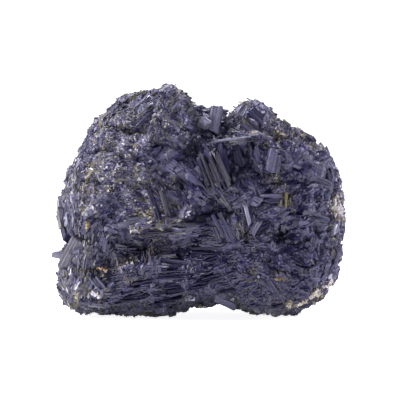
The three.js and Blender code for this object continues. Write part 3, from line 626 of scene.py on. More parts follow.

# The patches of the show face: x, z, lean, kind of growth, tone. The tones are partly the
# crystals' colour and partly painted light and shade: paler where the left crust, the tops and
# the rims catch the light, navy and dark where the hollows and the slab lie in shade.
SHOWN_PATCHES = [
    # the left crust
    (-15.5, 57, 45, "crust", "glints"), (-20.5, 54, 50, "crust", "mossy"),
    (-25.5, 50.5, 50, "crust", "mossy"), (-29, 45, 60, "crust", "mossy"),
    (-30.5, 40.5, 70, "crust", "dark"), (-27, 41, 60, "crust", "slate"),
    (-22.5, 46.5, 40, "crust", "mossy"), (-18.5, 48.5, 45, "crust", "mossy"),
    (-13, 51, 48, "fibres", "light"), (-10, 54.5, 52, "fibres", "light"), (-7, 59, 25, "crust", "glints"),
    (-5, 56.5, 60, "jumble", "glints"), (-3, 53, 40, "crust", "light"),
    (-11.5, 51.5, 40, "crust", "glints"), (-17.5, 43.5, 30, "crust", "glints"),
    (-20.5, 41, 30, "crust", "glints"), (-11.5, 47, 35, "grains", "mossy"),
    (-9.5, 44, 20, "smooth", "dark"), (-14, 41, 80, "crust", "dark"), (-20, 38.5, 30, "crust", "glints"),
    (-20.5, 36, 50, "grains", "glints"), (-15, 36.5, 70, "grains", "mossy"),
    (-16.5, 34, 30, "crust", "mossy"), (-26, 38.5, 60, "crust", "yellow"),
    (-32.5, 37.5, 80, "fibres", "light"), (-34.5, 33.5, 85, "crust", "glints"),
    (-30.5, 33, 85, "fibres", "glints"), (-27, 32, 75, "crust", "brown"),
    (-23.5, 34.5, 50, "crust", "glints"), (-23.5, 29.5, 25, "grains", "dark"),
    (-21, 29.5, 38, "blades", "navy"), (-18.5, 32.5, 40, "grains", "light"),
    # the left edge
    (-34.5, 26, 85, "blocks", "slate"), (-31.5, 27, 80, "blades", "slate"),
    (-28.5, 27.5, 60, "crust", "cream"), (-27, 24.5, 70, "plates", "navy"),
    (-34, 22.5, 80, "blocks", "light"), (-30, 22, 80, "blades", "light"),
    (-27.5, 20, 75, "blades", "glints"), (-23.5, 19, 60, "plates", "light"),
    (-23, 16.5, 70, "plates", "navy"), (-32.5, 17, 62, "smooth", "slate"),
    (-36.5, 16, 10, "blocks", "slate"), (-35, 11, 80, "crust", "light"),
    (-33, 6.5, 84, "fibres", "mossy"), (-30.5, 8.5, 70, "fibres", "glints"),
    (-29.5, 12, 80, "fibres", "glints"), (-28.5, 14.5, 82, "blades", "glints"),
    (-23.5, 13.5, 20, "crust", "brown"), (-25.5, 9, 55, "plates", "glints"),
    (-28.5, 3, 30, "grains", "light"),
    # left of the middle
    (-18, 14.5, -70, "grains", "brown"), (-20, 18, 0, "smooth", "navy"), (-20, 22.5, 0, "plates", "navy"),
    (-15.5, 20, 4, "smooth", "navy"), (-15.5, 25.5, 20, "crust", "cream"),
    (-11.5, 27, 40, "crust", "cream"), (-9.5, 25, 10, "grains", "olive"),
    (-7, 30, -64, "fibres", "slate"), (-9.5, 33, -60, "fibres", "glints"),
    (-4, 30, -72, "blades", "slate"), (-12.5, 33.5, 20, "grains", "glints"),
    (-7, 39.5, 30, "smooth", "slate"), (-11, 40.5, 40, "smooth", "dark"),
    (-7, 35.5, 40, "blocks", "light"), (-3.5, 34.5, -55, "plates", "navy"),
    (-4, 40.5, 50, "plates", "dark"), (-2, 46, 60, "grains", "slate"),
    (-4.5, 46.5, 70, "grains", "slate"), (-3, 26, 10, "grains", "glints"),
    # the fan of blades
    (0.5, 41.5, -62, "blades", "dark"), (4, 37.5, -62, "blades", "dark"), (6, 34, -58, "blades", "slate"),
    (-0.5, 34.5, -50, "plates", "navy"), (-2, 32, -20, "plates", "navy"),
    (2.5, 29.5, 0, "plates", "navy"), (3, 26.5, -30, "plates", "navy"), (6, 42, -70, "grains", "dark"),
    # the notch and the right top
    (1, 50, 40, "blocks", "glints"), (2, 51.5, 70, "blocks", "pale"), (5, 52, 60, "blocks", "pale"),
    (-0.5, 48, 60, "blocks", "light"), (4.5, 46.5, 20, "jumble", "slate"),
    (8, 49.5, -60, "grains", "light"), (10, 53.5, 38, "grains", "glints"),
    (8.5, 52, 60, "grains", "glints"), (15.5, 53, -45, "plates", "light"),
    (15, 56, -20, "crust", "lichen"), (19, 52, -48, "crust", "lichen"),
    (22.5, 51, -50, "crust", "lichen"), (12, 49.5, -50, "grains", "glints"),
    (16.5, 48.5, -28, "blocks", "glints"), (11, 46, 5, "blades", "light"),
    (19, 46.5, -5, "grains", "lichen"), (9, 41.5, -78, "smooth", "navy"),
    (13, 42.5, -76, "blades", "dark"), (9.2, 36.5, -74, "plates", "slate"),
    (14.2, 34.5, -70, "plates", "navy"), (15, 38.5, -60, "jumble", "dark"),
    (20, 39.5, 82, "blocks", "slate"), (16.5, 43, -30, "jumble", "slate"),
    (24.5, 46.5, -20, "grains", "glints"), (28, 44.5, -12, "crust", "lichen"),
    (27, 41.5, -20, "smooth", "slate"), (31, 46, -10, "grains", "glints"),
    (26, 48.5, -35, "crust", "lichen"), (33.5, 40, -70, "grains", "glints"),
    (22.5, 43.5, -12, "plates", "slate"),
    # right of the middle
    (30.5, 37.5, -22, "smooth", "slate"), (22.5, 36, 50, "plates", "navy"),
    (20, 34.5, 20, "crust", "brown"), (28, 33.5, 40, "blocks", "dark"),
    (29.5, 31.5, 30, "grains", "navy"), (34, 34.5, -80, "grains", "light"),
    (35.5, 28.5, 80, "crust", "cream"), (22, 30, 88, "blades", "olive"), (18, 30, 8, "fibres", "slate"),
    (18, 32.5, 20, "plates", "navy"), (14, 30.5, 40, "smooth", "navy"), (12, 27.5, -76, "blades", "navy"),
    (8.5, 25.5, -80, "plates", "slate"), (10.5, 25, -70, "fibres", "slate"),
    (14.5, 25.5, 62, "blades", "dark"), (16.5, 27, 55, "blocks", "dark"), (20, 26, 60, "smooth", "dark"),
    (23, 26.5, 30, "plates", "slate"), (21, 22.5, 0, "smooth", "navy"), (24, 22, 0, "plates", "navy"),
    (29.5, 27, -8, "plates", "slate"), (26, 29.5, 10, "blocks", "navy"),
    (32.5, 24, -60, "grains", "slate"), (35.5, 24, 75, "grains", "glints"), (28, 20, 0, "crust", "dark"),
    (24.5, 19, -28, "blocks", "navy"), (29.5, 22, -30, "blocks", "dark"),
    (35.5, 18, 70, "crust", "glints"), (17, 19.5, -60, "crust", "light"),
    (20.5, 17.5, -30, "grains", "dark"), (33, 17.5, 60, "grains", "lilac"),
    (30, 16, 60, "grains", "dark"),
    # the shelf, its hollow and the slab
    (-12.5, 23, 4, "fibres", "olive"), (-6.5, 23.5, 6, "fibres", "mossy"), (0, 22.5, 2, "blades", "dark"),
    (4, 20, 2, "streaks", "navy"), (-3, 20, 0, "plates", "navy"), (2.5, 18, 0, "streaks", "navy"),
    (8, 18, 15, "streaks", "navy"), (12, 16.5, 6, "grains", "dark"), (-4, 18, 20, "jumble", "dark"),
    (-7, 16.5, 0, "streaks", "slate"), (-12, 16.5, 88, "blades", "dark"),
    (-9.5, 18.5, 60, "grains", "glints"), (-5, 13.5, -8, "streaks", "dark"),
    (4, 14.5, 22, "streaks", "navy"), (8, 10.5, 14, "streaks", "navy"),
    (0.5, 10.5, 14, "streaks", "slate"), (-5, 8.5, 10, "streaks", "dark"),
    (-12, 11, 12, "streaks", "navy"), (-9, 7.5, 10, "streaks", "slate"),
    (-16.5, 7.5, 14, "streaks", "navy"), (-18.5, 10.5, 16, "streaks", "navy"),
    (-21, 7, 20, "streaks", "dark"), (1, 6.5, 20, "grains", "navy"), (-14.5, 9.5, 10, "crust", "navy"),
    (-15.5, 13.2, 20, "crust", "dark"), (-2, 12, 10, "crust", "navy"), (6.5, 12.5, 20, "crust", "navy"),
    (-9, 4.8, 20, "crust", "slate"), (-6, 11.4, 0, "streaks", "slate"), (-19.5, 4.6, 10, "crust", "dark"),
    (-23.5, 5, 18, "blades", "light"), (-11.5, 6.5, 10, "streaks", "dark"),
    (-14.5, 16.5, 80, "crust", "dark"), (-17.5, 20.5, 0, "plates", "navy"),
    # the two feet and the arch
    (-28, 1.5, 20, "grains", "light"), (-21.5, 2, 10, "blocks", "navy"),
    (-15.5, 2.5, 20, "blocks", "slate"), (-9.5, 2, 30, "blocks", "navy"),
    (-4, 5.5, 20, "jumble", "light"), (0, 3, 40, "grains", "dark"), (6, 5.5, -32, "blocks", "light"),
    (4, 2.5, -30, "grains", "dark"), (9.5, 8, -50, "crust", "slate"), (10.5, 3, 20, "crust", "light"),
    (15, 5, 10, "blocks", "slate"), (12.5, 13.5, 60, "crust", "olive"), (17, 13.5, 0, "grains", "slate"),
    (20, 10.5, 80, "crust", "slate"), (16.5, 8, 40, "crust", "slate"), (22.5, 6.5, 50, "crust", "slate"),
    (27, 9, 60, "grains", "dark"), (28.5, 12.5, 70, "crust", "slate"), (24, 13.5, -40, "grains", "dark"),
    (32.5, 12, 55, "smooth", "navy"), (30, 13.5, 40, "grains", "dark"),
    (34.5, 10.5, 30, "blocks", "light"), (30.5, 6, 50, "crust", "cream"), (28, 4.5, 30, "crust", "cream"),
    (25, 3.5, 8, "crust", "cream"), (20, 2, 0, "blocks", "light"), (15, 1.5, 5, "blocks", "navy"),
    (29.5, 3.5, 40, "grains", "slate"),
]
HIDDEN_PATCHES = 230  # on the sides, top and back
FOREMOST_HIDDEN = -9  # their least y
TONED_AS_SHOWN = 2  # up to this y they have the tone of the shown patch beside them
HIDDEN_KINDS = ["crust", "grains", "jumble", "blades", "blocks", "fibres", "plates"]
HIDDEN_TONES = ["slate", "drab", "light", "dark", "olive", "mossy", "navy", "mossy"]

DRAWS = 64000  # places drawn for crystals, before the patches thin them
FRONT_WEIGHT = 1.5  # draws on the front for each one on the back, area for area
FRONT_HALF = -4  # the y that parts the front pieces from the back ones
DEVIATION = 0.6  # of lean and tilt, as a share of their spread
PATCH_BLUR = 0.6  # how far neighbouring patches run into each other
LAID_FLAT = 0.97  # how fully a crystal of the show face lies along the surface
# Neighbours are alike in colour by drifts of [share, size, seed], and differ by this much.
ALIKE = [(0.75, 3.2, 7), (0.5, 1.3, 8)]
UNLIKE = 0.38
# Painted shade: the colour that crystals in the hollows are painted towards, and the tones spared it.
PAINTED_HOLLOW_SHADE = "#12102c"
TONES_WITHOUT_PAINTED_SHADE = ["brown", "pale"]  # tones that keep their colour in the hollows
# Under a big crystal that stands clear of the show face by its extra height, on 0.46 of its
# length and width each way from its middle, the small ones stay lower.
CLEAR_OF_FACE = 0.1
COVERED = 0.46
KEPT_LOW = 0.75
# The grid of cells over the mass from which places are drawn, and the z below which none are.
SPREAD_TURNS = 180
SPREAD_PITCHES = 90
POLE_MARGIN = 0.01
LOWEST_GROWTH = -1.0


def along_level(normal, lean):
    """The direction along the surface at lean degrees from level, level being to the right for
    someone who faces it: cos(lean) * level + sin(lean) * rise."""
    level = np.cross(np.array([0.0, 0.0, 1.0]), normal)
    flat = np.linalg.norm(level, axis=1, keepdims=True) < 0.2
    level = unit(np.where(flat, np.array([1.0, 0.0, 0.0]) - normal * normal[:, :1], level))
    return turned(level, np.cross(normal, level), np.radians(lean))


def spread_over_mass(count, chance, front_weight=1.0):
    """Places spread evenly over the mass: a cell of a grid of turns and pitches is drawn by its
    area, weighted towards the front, and a place within it at random."""
    turn = np.linspace(-np.pi, np.pi, SPREAD_TURNS + 1)
    pitch = np.linspace(POLE_MARGIN, np.pi - POLE_MARGIN, SPREAD_PITCHES + 1)
    places, _ = mass_surface(*np.meshgrid(turn, pitch))
    across = np.linalg.norm(places[:-1, 1:] - places[:-1, :-1], axis=-1)
    down = np.linalg.norm(places[1:, :-1] - places[:-1, :-1], axis=-1)
    weight = across * down * np.where(places[:-1, :-1, 1] < 0, front_weight, 1.0)
    weight *= places[:-1, :-1, 2] > LOWEST_GROWTH
    cell = chance.choice(weight.size, count, p=(weight / weight.sum()).ravel())
    row, column = np.divmod(cell, len(turn) - 1)
    where = chance.random((2, count))
    turns = turn[column] + where[0] * (turn[1] - turn[0])
    pitches = pitch[row] + where[1] * (pitch[1] - pitch[0])
    return mass_surface(turns, pitches)


def nearest_to(aimed, places):
    """The number of the place that is nearest to each aimed one, where place^2 - 2 * aimed * place
    is least."""
    return np.argmin((places**2).sum(axis=1) - 2 * aimed @ places.T, axis=1)


def under_big(place):
    """1 where a place lies under a big crystal that stands clear of the show face, 0 elsewhere."""
    clear = [row for row in BIG_CRYSTALS if row[7] > CLEAR_OF_FACE]
    x, z, lean, _, length, width = table_columns(clear, 6)
    lean = np.radians(lean)
    dx = place[:, None, 0] - x
    dz = place[:, None, 2] - z
    along = np.abs(dx * np.cos(lean) + dz * np.sin(lean)) < COVERED * length
    across = np.abs(dz * np.cos(lean) - dx * np.sin(lean)) < COVERED * width
    return ((along & across).any(axis=1) & (place[:, 1] < 0)).astype(float)


def growth(count, front_weight, chance):
    """Draws places over the mass, gives each the patch that lies nearest, thins them to the
    patch's crowding, and turns, sizes and colours each crystal as its patch says, with painted
    shade in the hollows and painted light on the swells."""
    place, normal = spread_over_mass(count, chance, front_weight)
    patch = nearest_to(place + chance.normal(0, PATCH_BLUR, place.shape), patch_place)
    crowd = np.array([GROWTH[kind][7] for kind in patch_kind])[patch]
    kept = chance.random(count) < crowd / max(row[7] for row in GROWTH.values())
    place, normal, patch = place[kept], normal[kept], patch[kept]
    number, kind, tone = len(patch), patch_kind[patch], patch_tone[patch]
    spread, tilt, roll, length, width, flatness, height = table_columns(
        [GROWTH[name] for name in kind], 7)
    lean = patch_lean[patch] + spread * chance.normal(0, DEVIATION, number)
    rise = np.radians(tilt * chance.normal(0, DEVIATION, number))
    shown = patch < len(SHOWN_PATCHES)
    axis = np.where(shown[:, None], seen_along(normal, lean, np.zeros(number), LAID_FLAT),
                    along_level(normal, lean))
    axis = unit(turned(axis, normal, rise))
    out = square_to(axis, normal)
    turn = np.radians(roll * (2 * chance.random(number) - 1))
    scale = np.exp(np.clip(chance.normal(0, 0.28, number), -0.6, 0.5))
    depth = width * flatness * scale
    top = height * (2 * chance.random(number) - 0.8) - KEPT_LOW * under_big(place)
    alike = sum(share * drift(place, size, seed) for share, size, seed in ALIKE)
    alike = alike + UNLIKE * chance.normal(0, 1, number)
    likeness = np.argsort(np.argsort(alike)) / number  # ranked from 0 to 1
    # Painted shade and light from the relief: from 0.9 mm deep the crystals' colour is painted
    # towards navy, by 0.85 at 3 mm, and everywhere it is painted lighter on the swells and darker
    # in the hollows.
    height_here = relief_height(place, normal)[:, None]
    tint = tints(tone, likeness, chance)
    painted_shade = np.clip(-0.4 * height_here - 0.35, 0, 0.85) * ~np.isin(tone, TONES_WITHOUT_PAINTED_SHADE)[:, None]
    lit = np.clip(1.12 + 0.3 * height_here, 0.5, 1.35)
    hue = lit * tint[:, :3] * (1 - painted_shade) + painted_shade * linear(PAINTED_HOLLOW_SHADE)
    return {
        "middle": place + normal * (top - depth / 2)[:, None],
        "axis": axis,
        "out": turned(out, np.cross(out, axis), turn),
        "length": length * scale * np.exp(np.clip(chance.normal(0, 0.25, number), -0.6, 0.4)),
        "width": width * scale,
        "depth": depth,
        # painted shade also takes the flecks away
        "tint": np.hstack([hue, tint[:, 3:] * (1 - painted_shade)]),
        "kind": kind,
    }


chance = np.random.default_rng(31)
shown_place, _ = show_face_at(*table_columns(SHOWN_PATCHES, 2))
hidden_place, _ = spread_over_mass(4 * HIDDEN_PATCHES, chance)
hidden_place = hidden_place[hidden_place[:, 1] > FOREMOST_HIDDEN][:HIDDEN_PATCHES]
hidden = len(hidden_place)
patch_place = np.vstack([shown_place, hidden_place])
patch_lean = np.concatenate([[row[2] for row in SHOWN_PATCHES], 180 * chance.random(hidden)])
patch_kind = np.concatenate([[row[3] for row in SHOWN_PATCHES],
                             chance.choice(HIDDEN_KINDS, hidden)])
shown_tone = np.array([row[4] for row in SHOWN_PATCHES])
beside = np.argmin(((hidden_place[:, None] - shown_place)**2).sum(axis=-1), axis=1)
hidden_tone = np.where(hidden_place[:, 1] < TONED_AS_SHOWN, shown_tone[beside],
                       chance.choice(HIDDEN_TONES, hidden))
patch_tone = np.concatenate([shown_tone, hidden_tone])

SIX_SIDED = np.array([
    [-0.36, -0.5], [0.36, -0.5], [0.5, 0.0], [0.36, 0.5], [-0.36, 0.5], [-0.5, 0.0],
])
FOUR_SIDED = np.array([[-0.35, -0.5], [0.5, -0.35], [0.35, 0.5], [-0.5, 0.35]])
WORN_ENDS = np.array([[-1, 0.0, 0.6], [-1, 0.6, 1.0], [1, 0.0, 0.55]])
CHIPPED_ENDS = np.array([[-1, 0.0, 1.0], [1, 0.0, 0.6]])
# The form of a crystal: the kinds of growth that have it, its section, ends and ruggedness.
FORMS = {
    "chips": (["crust", "grains", "jumble"], FOUR_SIDED, CHIPPED_ENDS, 0.3),
    "fibres": (["fibres", "blades", "streaks"], FOUR_SIDED, CHIPPED_ENDS, 0.16),
    "plates": (["blocks", "plates", "smooth"], SIX_SIDED, WORN_ENDS, 0.14),
}
crystals = growth(DRAWS, FRONT_WEIGHT, chance)
in_front = crystals["middle"][:, 1] < FRONT_HALF
for half, in_half in (("front", in_front), ("back", ~in_front)):
    for form, (kinds, section, rings, ruggedness) in FORMS.items():
        chosen = in_half & np.isin(crystals["kind"], kinds)
        some = {name: values[chosen] for name, values in crystals.items()}
        prism_piece(f"{form}_{half}", some, section, rings, ruggedness, chance, epidote)

# ---------------------------------------------------------------------------------------------
# The sheaves of the sides, the top and the back. Away from the show face the thicker prisms grew
# side by side and a little fanned, three to seven together. They are rooted in the mass to most
# of their depth, and their broken ends and striped faces stand out of the crust.
# ---------------------------------------------------------------------------------------------
# turn, pitch, lean, fan, prisms, length, width of one, tone. turn and pitch place the middle, lean
# turns it from level towards upright, and fan is the angle between the first and the last prism.
SHEAVES = [
    (125, 114, 20, 18, 6, 8, 1.9, "slate"), (55, 120, -20, 14, 5, 9, 2.1, "drab"),
    (75, 152, 70, 16, 6, 10, 1.8, "slate"), (148, 142, 25, 14, 5, 11, 2.2, "lilac"),
    (175, 105, 80, 16, 5, 9, 2, "drab"), (200, 127, -35, 18, 6, 9, 1.7, "slate"),
    (170, 160, 50, 12, 7, 13, 2, "slate"), (20, 142, -60, 14, 5, 11, 2.1, "drab"),
    (0, 108, 75, 18, 6, 9, 1.7, "lilac"), (335, 127, 15, 16, 5, 10, 2, "slate"),
    (345, 160, -20, 12, 7, 13, 2.1, "drab"), (245, 150, 5, 12, 5, 12, 2, "slate"),
    (290, 147, 40, 14, 6, 10, 1.7, "lilac"), (182, 84, -60, 16, 5, 9, 2, "slate"),
    (155, 96, 50, 16, 6, 9, 1.8, "drab"), (112, 92, 15, 14, 5, 9, 2.1, "lilac"),
    (30, 100, 20, 16, 5, 9, 2.1, "slate"), (100, 137, -40, 24, 4, 6, 1.5, "light"),
    (35, 128, 10, 22, 4, 6.5, 1.4, "dark"), (160, 124, -15, 20, 4, 6, 1.6, "olive"),
    (216, 143, 60, 20, 5, 7, 1.3, "light"), (312, 130, -50, 22, 4, 6, 1.5, "olive"),
    (268, 122, 8, 16, 4, 8, 1.6, "dark"), (350, 128, 80, 20, 4, 6, 1.6, "light"),
    (92, 168, 5, 20, 5, 8, 1.5, "slate"), (226, 104, 70, 18, 4, 7, 1.7, "slate"),
    (316, 100, -60, 18, 4, 7, 1.6, "drab"), (82, 106, 60, 22, 4, 5.5, 1.5, "lilac"),
    (142, 108, -25, 20, 3, 6, 1.7, "light"), (12, 160, 45, 18, 5, 8, 1.6, "lilac"),
    (192, 148, 5, 16, 4, 8, 1.8, "light"), (58, 150, -35, 20, 5, 7, 1.4, "light"),
    (330, 148, 75, 20, 4, 7, 1.6, "slate"), (8, 88, 10, 18, 4, 6, 1.6, "slate"),
]


PLACES_TO_LIE_ON = 9000  # over the whole mass, the nearest of which each prism lies on


def fanned(rows, chance):
    """Each sheaf's prisms side by side across its lean, laid on the mass where it is nearest to
    each, turned by their share of the fan and each with its own length, width and height."""
    turn, pitch, lean, fan, number, length, width = table_columns(rows, 7)
    tones = np.array([row[7] for row in rows])
    middle, facing = mass_surface(np.radians(turn), np.radians(pitch))
    along = along_level(facing, lean)
    across = np.cross(along, facing)
    sheaf = row_of_each(number)
    count = len(sheaf)
    step = np.arange(count) - (np.cumsum(number) - number)[sheaf] - (number[sheaf] - 1) / 2
    slide = 0.4 * length[sheaf] * (chance.random(count) - 0.5)
    aimed = (middle[sheaf] + across[sheaf] * (step * width[sheaf])[:, None]
             + along[sheaf] * slide[:, None])
    mass_places, mass_normals = spread_over_mass(PLACES_TO_LIE_ON, chance)
    nearest = nearest_to(aimed, mass_places)
    normal = mass_normals[nearest]
    off = ((aimed - mass_places[nearest]) * normal).sum(axis=1, keepdims=True)
    swing = fan[sheaf] * (step / number[sheaf] + 0.35 * (chance.random(count) - 0.5))
    roll = PRISM_ROLL * chance.normal(0, 1, count)
    axis = along_level(normal, lean[sheaf] + swing)
    own_width = width[sheaf] * (0.75 + 0.6 * chance.random(count))
    depth = 1.1 * own_width
    draw = shared_draw(sheaf, rows, chance)
    top = 0.4 + 0.3 * chance.normal(0, 1, count)
    return {
        "middle": aimed - normal * off + normal * (top - depth / 2)[:, None],
        "axis": axis,
        "out": turned(normal, np.cross(normal, axis), roll),
        "length": length[sheaf] * (0.45 + 0.6 * chance.random(count)),
        "width": own_width,
        "depth": depth,
        "tint": tints(tones[sheaf], draw, chance),
    }


prism_piece("sheaves", fanned(SHEAVES, chance), RIBBED, BROKEN_ENDS, 0.06, chance, epidote)

# ---------------------------------------------------------------------------------------------
# The pale grains. In the last gaps between the crystals feldspar grew, in cream, tan and white
# grains a millimetre across, stained gold and brown by iron; they sit in pockets and seams.
# ---------------------------------------------------------------------------------------------
# x, z, half length, half height, lean, number, grain size, stain.
POCKETS = [
    (35.4, 27.8, 2.4, 1, -72, 60, 0.85, "cream"), (34.6, 30.2, 1.2, 0.8, 60, 16, 0.7, "cream"),
    (30.2, 7, 1.3, 0.5, 20, 50, 1.1, "chalk"), (32, 8.2, 1.9, 0.4, 62, 50, 1.05, "chalk"),
    (24.3, 4.5, 2.3, 0.22, 12, 40, 0.8, "chalk"), (26.2, 5.2, 1, 0.4, 12, 24, 1, "chalk"),
    # The amber grains at -24.1, 13 are partly stain and partly a painted golden glint.
    (-24.1, 13, 1.4, 0.15, -18, 14, 0.5, "amber"), (-28.4, 27.4, 1.3, 0.6, 70, 12, 0.5, "tan"),
    (-12.4, 27.3, 3.2, 1.3, 15, 30, 0.45, "tan"), (-27.8, 24.4, 1.6, 0.25, 84, 10, 0.5, "gold"),
    (-15.6, 38.4, 1.1, 0.9, 20, 9, 0.5, "tan"), (-27.4, 39.8, 0.8, 0.7, 30, 8, 0.5, "gold"),
    (20.6, 11.2, 1.3, 0.6, 15, 9, 0.5, "gold"), (1.2, 2.9, 1.1, 0.2, 0, 8, 0.6, "cream"),
    (-30.6, 6.2, 2, 0.8, 80, 14, 0.6, "tan"),
]
STAINS = {
    "cream": ["#c9c4b0", "#dedacc", "#9a8f74", "#706852"],
    "tan": ["#858063", "#9a9579", "#64604c", "#a8a38a"],
    "gold": ["#8d7d42", "#756838", "#ab9860", "#584c30"],
    "chalk": ["#f8f0d8", "#fffbe8", "#eee4c8", "#d2c49e"],
    "amber": ["#c09a58", "#e2c99c", "#6e4a34", "#a07a44"],
}
HIDDEN_POCKETS = 6  # round ones, on the sides and the back
HIDDEN_GRAINS = 30  # in each of them
HIDDEN_GRAIN_SIZE = 0.62
PLACES_FOR_GRAINS = 7000  # over the whole mass, from which the hidden pockets take theirs
FOREMOST_POCKET = -4  # the least y of a hidden pocket's middle


def feldspar_material():
    """Feldspar: opaque, cream, IOR 1.53, its cleavage faces uneven, and darker or paler where they
    are stained; each grain's own colour comes from its tint."""
    material, tree, shader = new_material("Feldspar_grains", Roughness=0.45, IOR=1.53)
    place = add_node(tree, "ShaderNodeTexCoord")
    tint = add_node(tree, "ShaderNodeAttribute", attribute_name="tint")
    stain = add_node(tree, "ShaderNodeTexNoise", [("Vector", place, "Object")],
                     Scale=1 / (0.5 * MM), Detail=3.0)
    shade = add_node(tree, "ShaderNodeMapRange", [("Value", stain, "Fac")],
                     From_Min=0.3, From_Max=0.7, To_Min=0.55, To_Max=1.2)
    colour = add_node(tree, "ShaderNodeMix", [(6, tint, "Color"), (7, shade, "Result")],
                      data_type="RGBA", blend_type="MULTIPLY", Factor=1.0)
    tree.links.new(colour.outputs[2], shader.inputs["Base Color"])
    uneven = add_node(tree, "ShaderNodeBump", [("Height", stain, "Fac")],
                      Strength=0.4, Distance=0.1 * MM)
    tree.links.new(uneven.outputs["Normal"], shader.inputs["Normal"])
    material.diffuse_color = (*linear("#cfc4ae"), 1.0)
    return material


def pocket_grains(chance):
    """Grains strewn by each pocket's half length and height along its lean, and in round pockets
    drawn on the hidden sides, each turned at random. The middle of a grain stands 0.34 less a
    tenth of its size above the mass, so that it is rooted in it."""
    x, z, length, height, lean, number, size = table_columns(POCKETS, 7)
    row = row_of_each(number)
    along, up = np.clip(chance.normal(0, 0.5, (2, len(row))), -1, 1) * [length[row], height[row]]
    slope = np.radians(lean[row])
    place, normal = show_face_at(x[row] + along * np.cos(slope) - up * np.sin(slope),
                                 z[row] + along * np.sin(slope) + up * np.cos(slope))
    far, far_normal = spread_over_mass(PLACES_FOR_GRAINS, chance)
    centres = far[far[:, 1] > FOREMOST_POCKET][:HIDDEN_POCKETS]
    apart = np.linalg.norm(far[:, None] - centres, axis=-1)
    chosen = np.argsort(apart, axis=0)[:HIDDEN_GRAINS].ravel()
    place, normal = np.vstack([place, far[chosen]]), np.vstack([normal, far_normal[chosen]])
    grain = np.concatenate([size[row], np.full(len(chosen), HIDDEN_GRAIN_SIZE)])
    stains = [POCKETS[i][7] for i in row] + ["cream", "tan"] * (len(chosen) // 2)
    count = len(grain)
    axis = unit(np.cross(normal, unit(chance.normal(size=(count, 3)))))
    grain = grain * np.exp(np.clip(chance.normal(0, 0.3, count), -0.6, 0.5))
    picks = chance.integers(0, 4, count)
    colours = np.array([linear(STAINS[stain][pick]) for stain, pick in zip(stains, picks)])
    return {
        "middle": place + normal * (0.34 - 0.1 * grain)[:, None],
        "axis": unit(axis + 0.35 * normal * chance.normal(0, 1, (count, 1))),
        "out": normal,
        "length": 1.3 * grain,
        "width": grain,
        "depth": 0.8 * grain,
        "tint": np.hstack([colours, np.zeros((count, 1))]),
    }


prism_piece("pale_grains", pocket_grains(chance), FOUR_SIDED, CHIPPED_ENDS, 0.35, chance,
            feldspar_material())

# ---------------------------------------------------------------------------------------------
# The studio. The specimen rests on a sheet of white paper that is lit until it glows, less so
# around the feet. A weak violet sky and three soft lights shine on it, and a long lens looks at
# it almost from level.
# ---------------------------------------------------------------------------------------------
FRAME_WIDTH = 104.0
CAMERA_DISTANCE = 550.0
CAMERA_ELEVATION = 2.0
SENSOR_WIDTH = 36.0
AIM = np.array([0.2, 0.0, 30.0])
LIGHTS_AIM = (0, 0, 28)
FLOOR_HALF = 2.0

# White paper: matt, its glow 0.33 up to 6 cm from the lump's middle and 1 from half a metre on,
# and 0.9 wherever the camera looks at it.
paper, tree, shader = new_material("White_paper", Base_Color=(0.9, 0.9, 0.9, 1), Roughness=0.9,
                                   Emission_Color=(1, 1, 1, 1))
place = add_node(tree, "ShaderNodeTexCoord")
distance = add_node(tree, "ShaderNodeVectorMath", [(0, place, "Object")], operation="LENGTH")
fade = add_node(tree, "ShaderNodeMapRange", [("Value", distance, "Value")],
                interpolation_type="SMOOTHSTEP",
                From_Min=0.06, From_Max=0.5, To_Min=0.33, To_Max=1.0)
looked_at = add_node(tree, "ShaderNodeLightPath")
glow = add_node(tree, "ShaderNodeMix", [(0, looked_at, "Is Camera Ray"), (2, fade, "Result")])
glow.inputs[3].default_value = 0.9
tree.links.new(glow.outputs[0], shader.inputs["Emission Strength"])

floor_mesh = bpy.data.meshes.new("floor")
floor_mesh.from_pydata([(-FLOOR_HALF, -FLOOR_HALF, 0), (FLOOR_HALF, -FLOOR_HALF, 0),
                        (FLOOR_HALF, FLOOR_HALF, 0), (-FLOOR_HALF, FLOOR_HALF, 0)],
                       [], [(0, 1, 2, 3)])
floor_mesh.materials.append(paper)
floor = bpy.data.objects.new("floor", floor_mesh)
bpy.context.scene.collection.objects.link(floor)

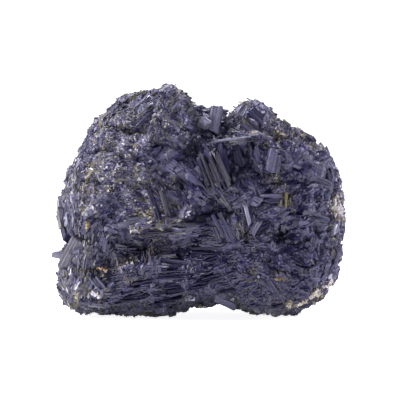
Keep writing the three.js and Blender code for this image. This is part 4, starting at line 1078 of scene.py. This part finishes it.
# The sky: violet and weak, deepest from the front, but white and bright where the camera sees it.
world = bpy.data.worlds.new("Studio")
bpy.context.scene.world = world
world.use_nodes = True
tree = world.node_tree
background = tree.nodes["Background"]
direction = add_node(tree, "ShaderNodeTexCoord")
parts = add_node(tree, "ShaderNodeSeparateXYZ", [("Vector", direction, "Generated")])
rays = add_node(tree, "ShaderNodeLightPath")
strength = add_node(tree, "ShaderNodeMapRange", [("Value", parts, "Y")],
                    From_Min=-1.0, From_Max=0.1, To_Min=0.12, To_Max=0.17)
seen = add_node(tree, "ShaderNodeMix", [(0, rays, "Is Camera Ray"), (2, strength, "Result")],
                data_type="FLOAT")
seen.inputs[3].default_value = 1.3
tree.links.new(seen.outputs[0], background.inputs["Strength"])
behind = add_node(tree, "ShaderNodeMapRange", [("Value", parts, "Y")], From_Min=-0.9, From_Max=0.5)
sky = add_node(tree, "ShaderNodeMix", [(0, behind, "Result")], data_type="RGBA")
sky.inputs[6].default_value = (*linear("#7a6fff"), 1)
sky.inputs[7].default_value = (*linear("#d2ceff"), 1)
colour = add_node(tree, "ShaderNodeMix", [(0, rays, "Is Camera Ray"), (6, sky, 2)],
                  data_type="RGBA")
colour.inputs[7].default_value = (*linear("#ffffff"), 1)
tree.links.new(colour.outputs[2], background.inputs["Color"])


def softbox(name, place, width, height, power, code):
    """A rectangular soft light at place that shines towards the lump, sizes in millimetres."""
    light = bpy.data.lights.new(name, "AREA")
    light.shape = "RECTANGLE"
    light.size = width * MM
    light.size_y = height * MM
    light.energy = power
    light.color = linear(code)
    lamp = bpy.data.objects.new(name, light)
    lamp.location = Vector(place) * MM
    way = Vector(LIGHTS_AIM) * MM - lamp.location
    lamp.rotation_euler = way.to_track_quat("-Z", "Y").to_euler()
    bpy.context.scene.collection.objects.link(lamp)


softbox("key_softbox", (-1050, -160, 620), 500, 500, 22.5, "#f3efff")
softbox("fill_softbox", (1050, 350, 350), 300, 600, 7.0, "#d8d2ff")
softbox("top_softbox", (0, 200, 1200), 1000, 600, 18.5, "#efecff")

camera_data = bpy.data.cameras.new("camera")
camera_data.sensor_width = SENSOR_WIDTH
camera_data.lens = SENSOR_WIDTH * CAMERA_DISTANCE / FRAME_WIDTH
camera_data.clip_start = 0.01
camera_data.clip_end = 10.0
camera = bpy.data.objects.new("camera", camera_data)
elevation = np.radians(CAMERA_ELEVATION)
back_off = Vector((0, -np.cos(elevation), np.sin(elevation)))
camera.location = Vector(AIM) * MM + back_off * CAMERA_DISTANCE * MM
camera.rotation_euler = (-back_off).to_track_quat("-Z", "Y").to_euler()
bpy.context.scene.collection.objects.link(camera)
bpy.context.scene.camera = camera
bpy.context.scene.view_settings.view_transform = "Standard"
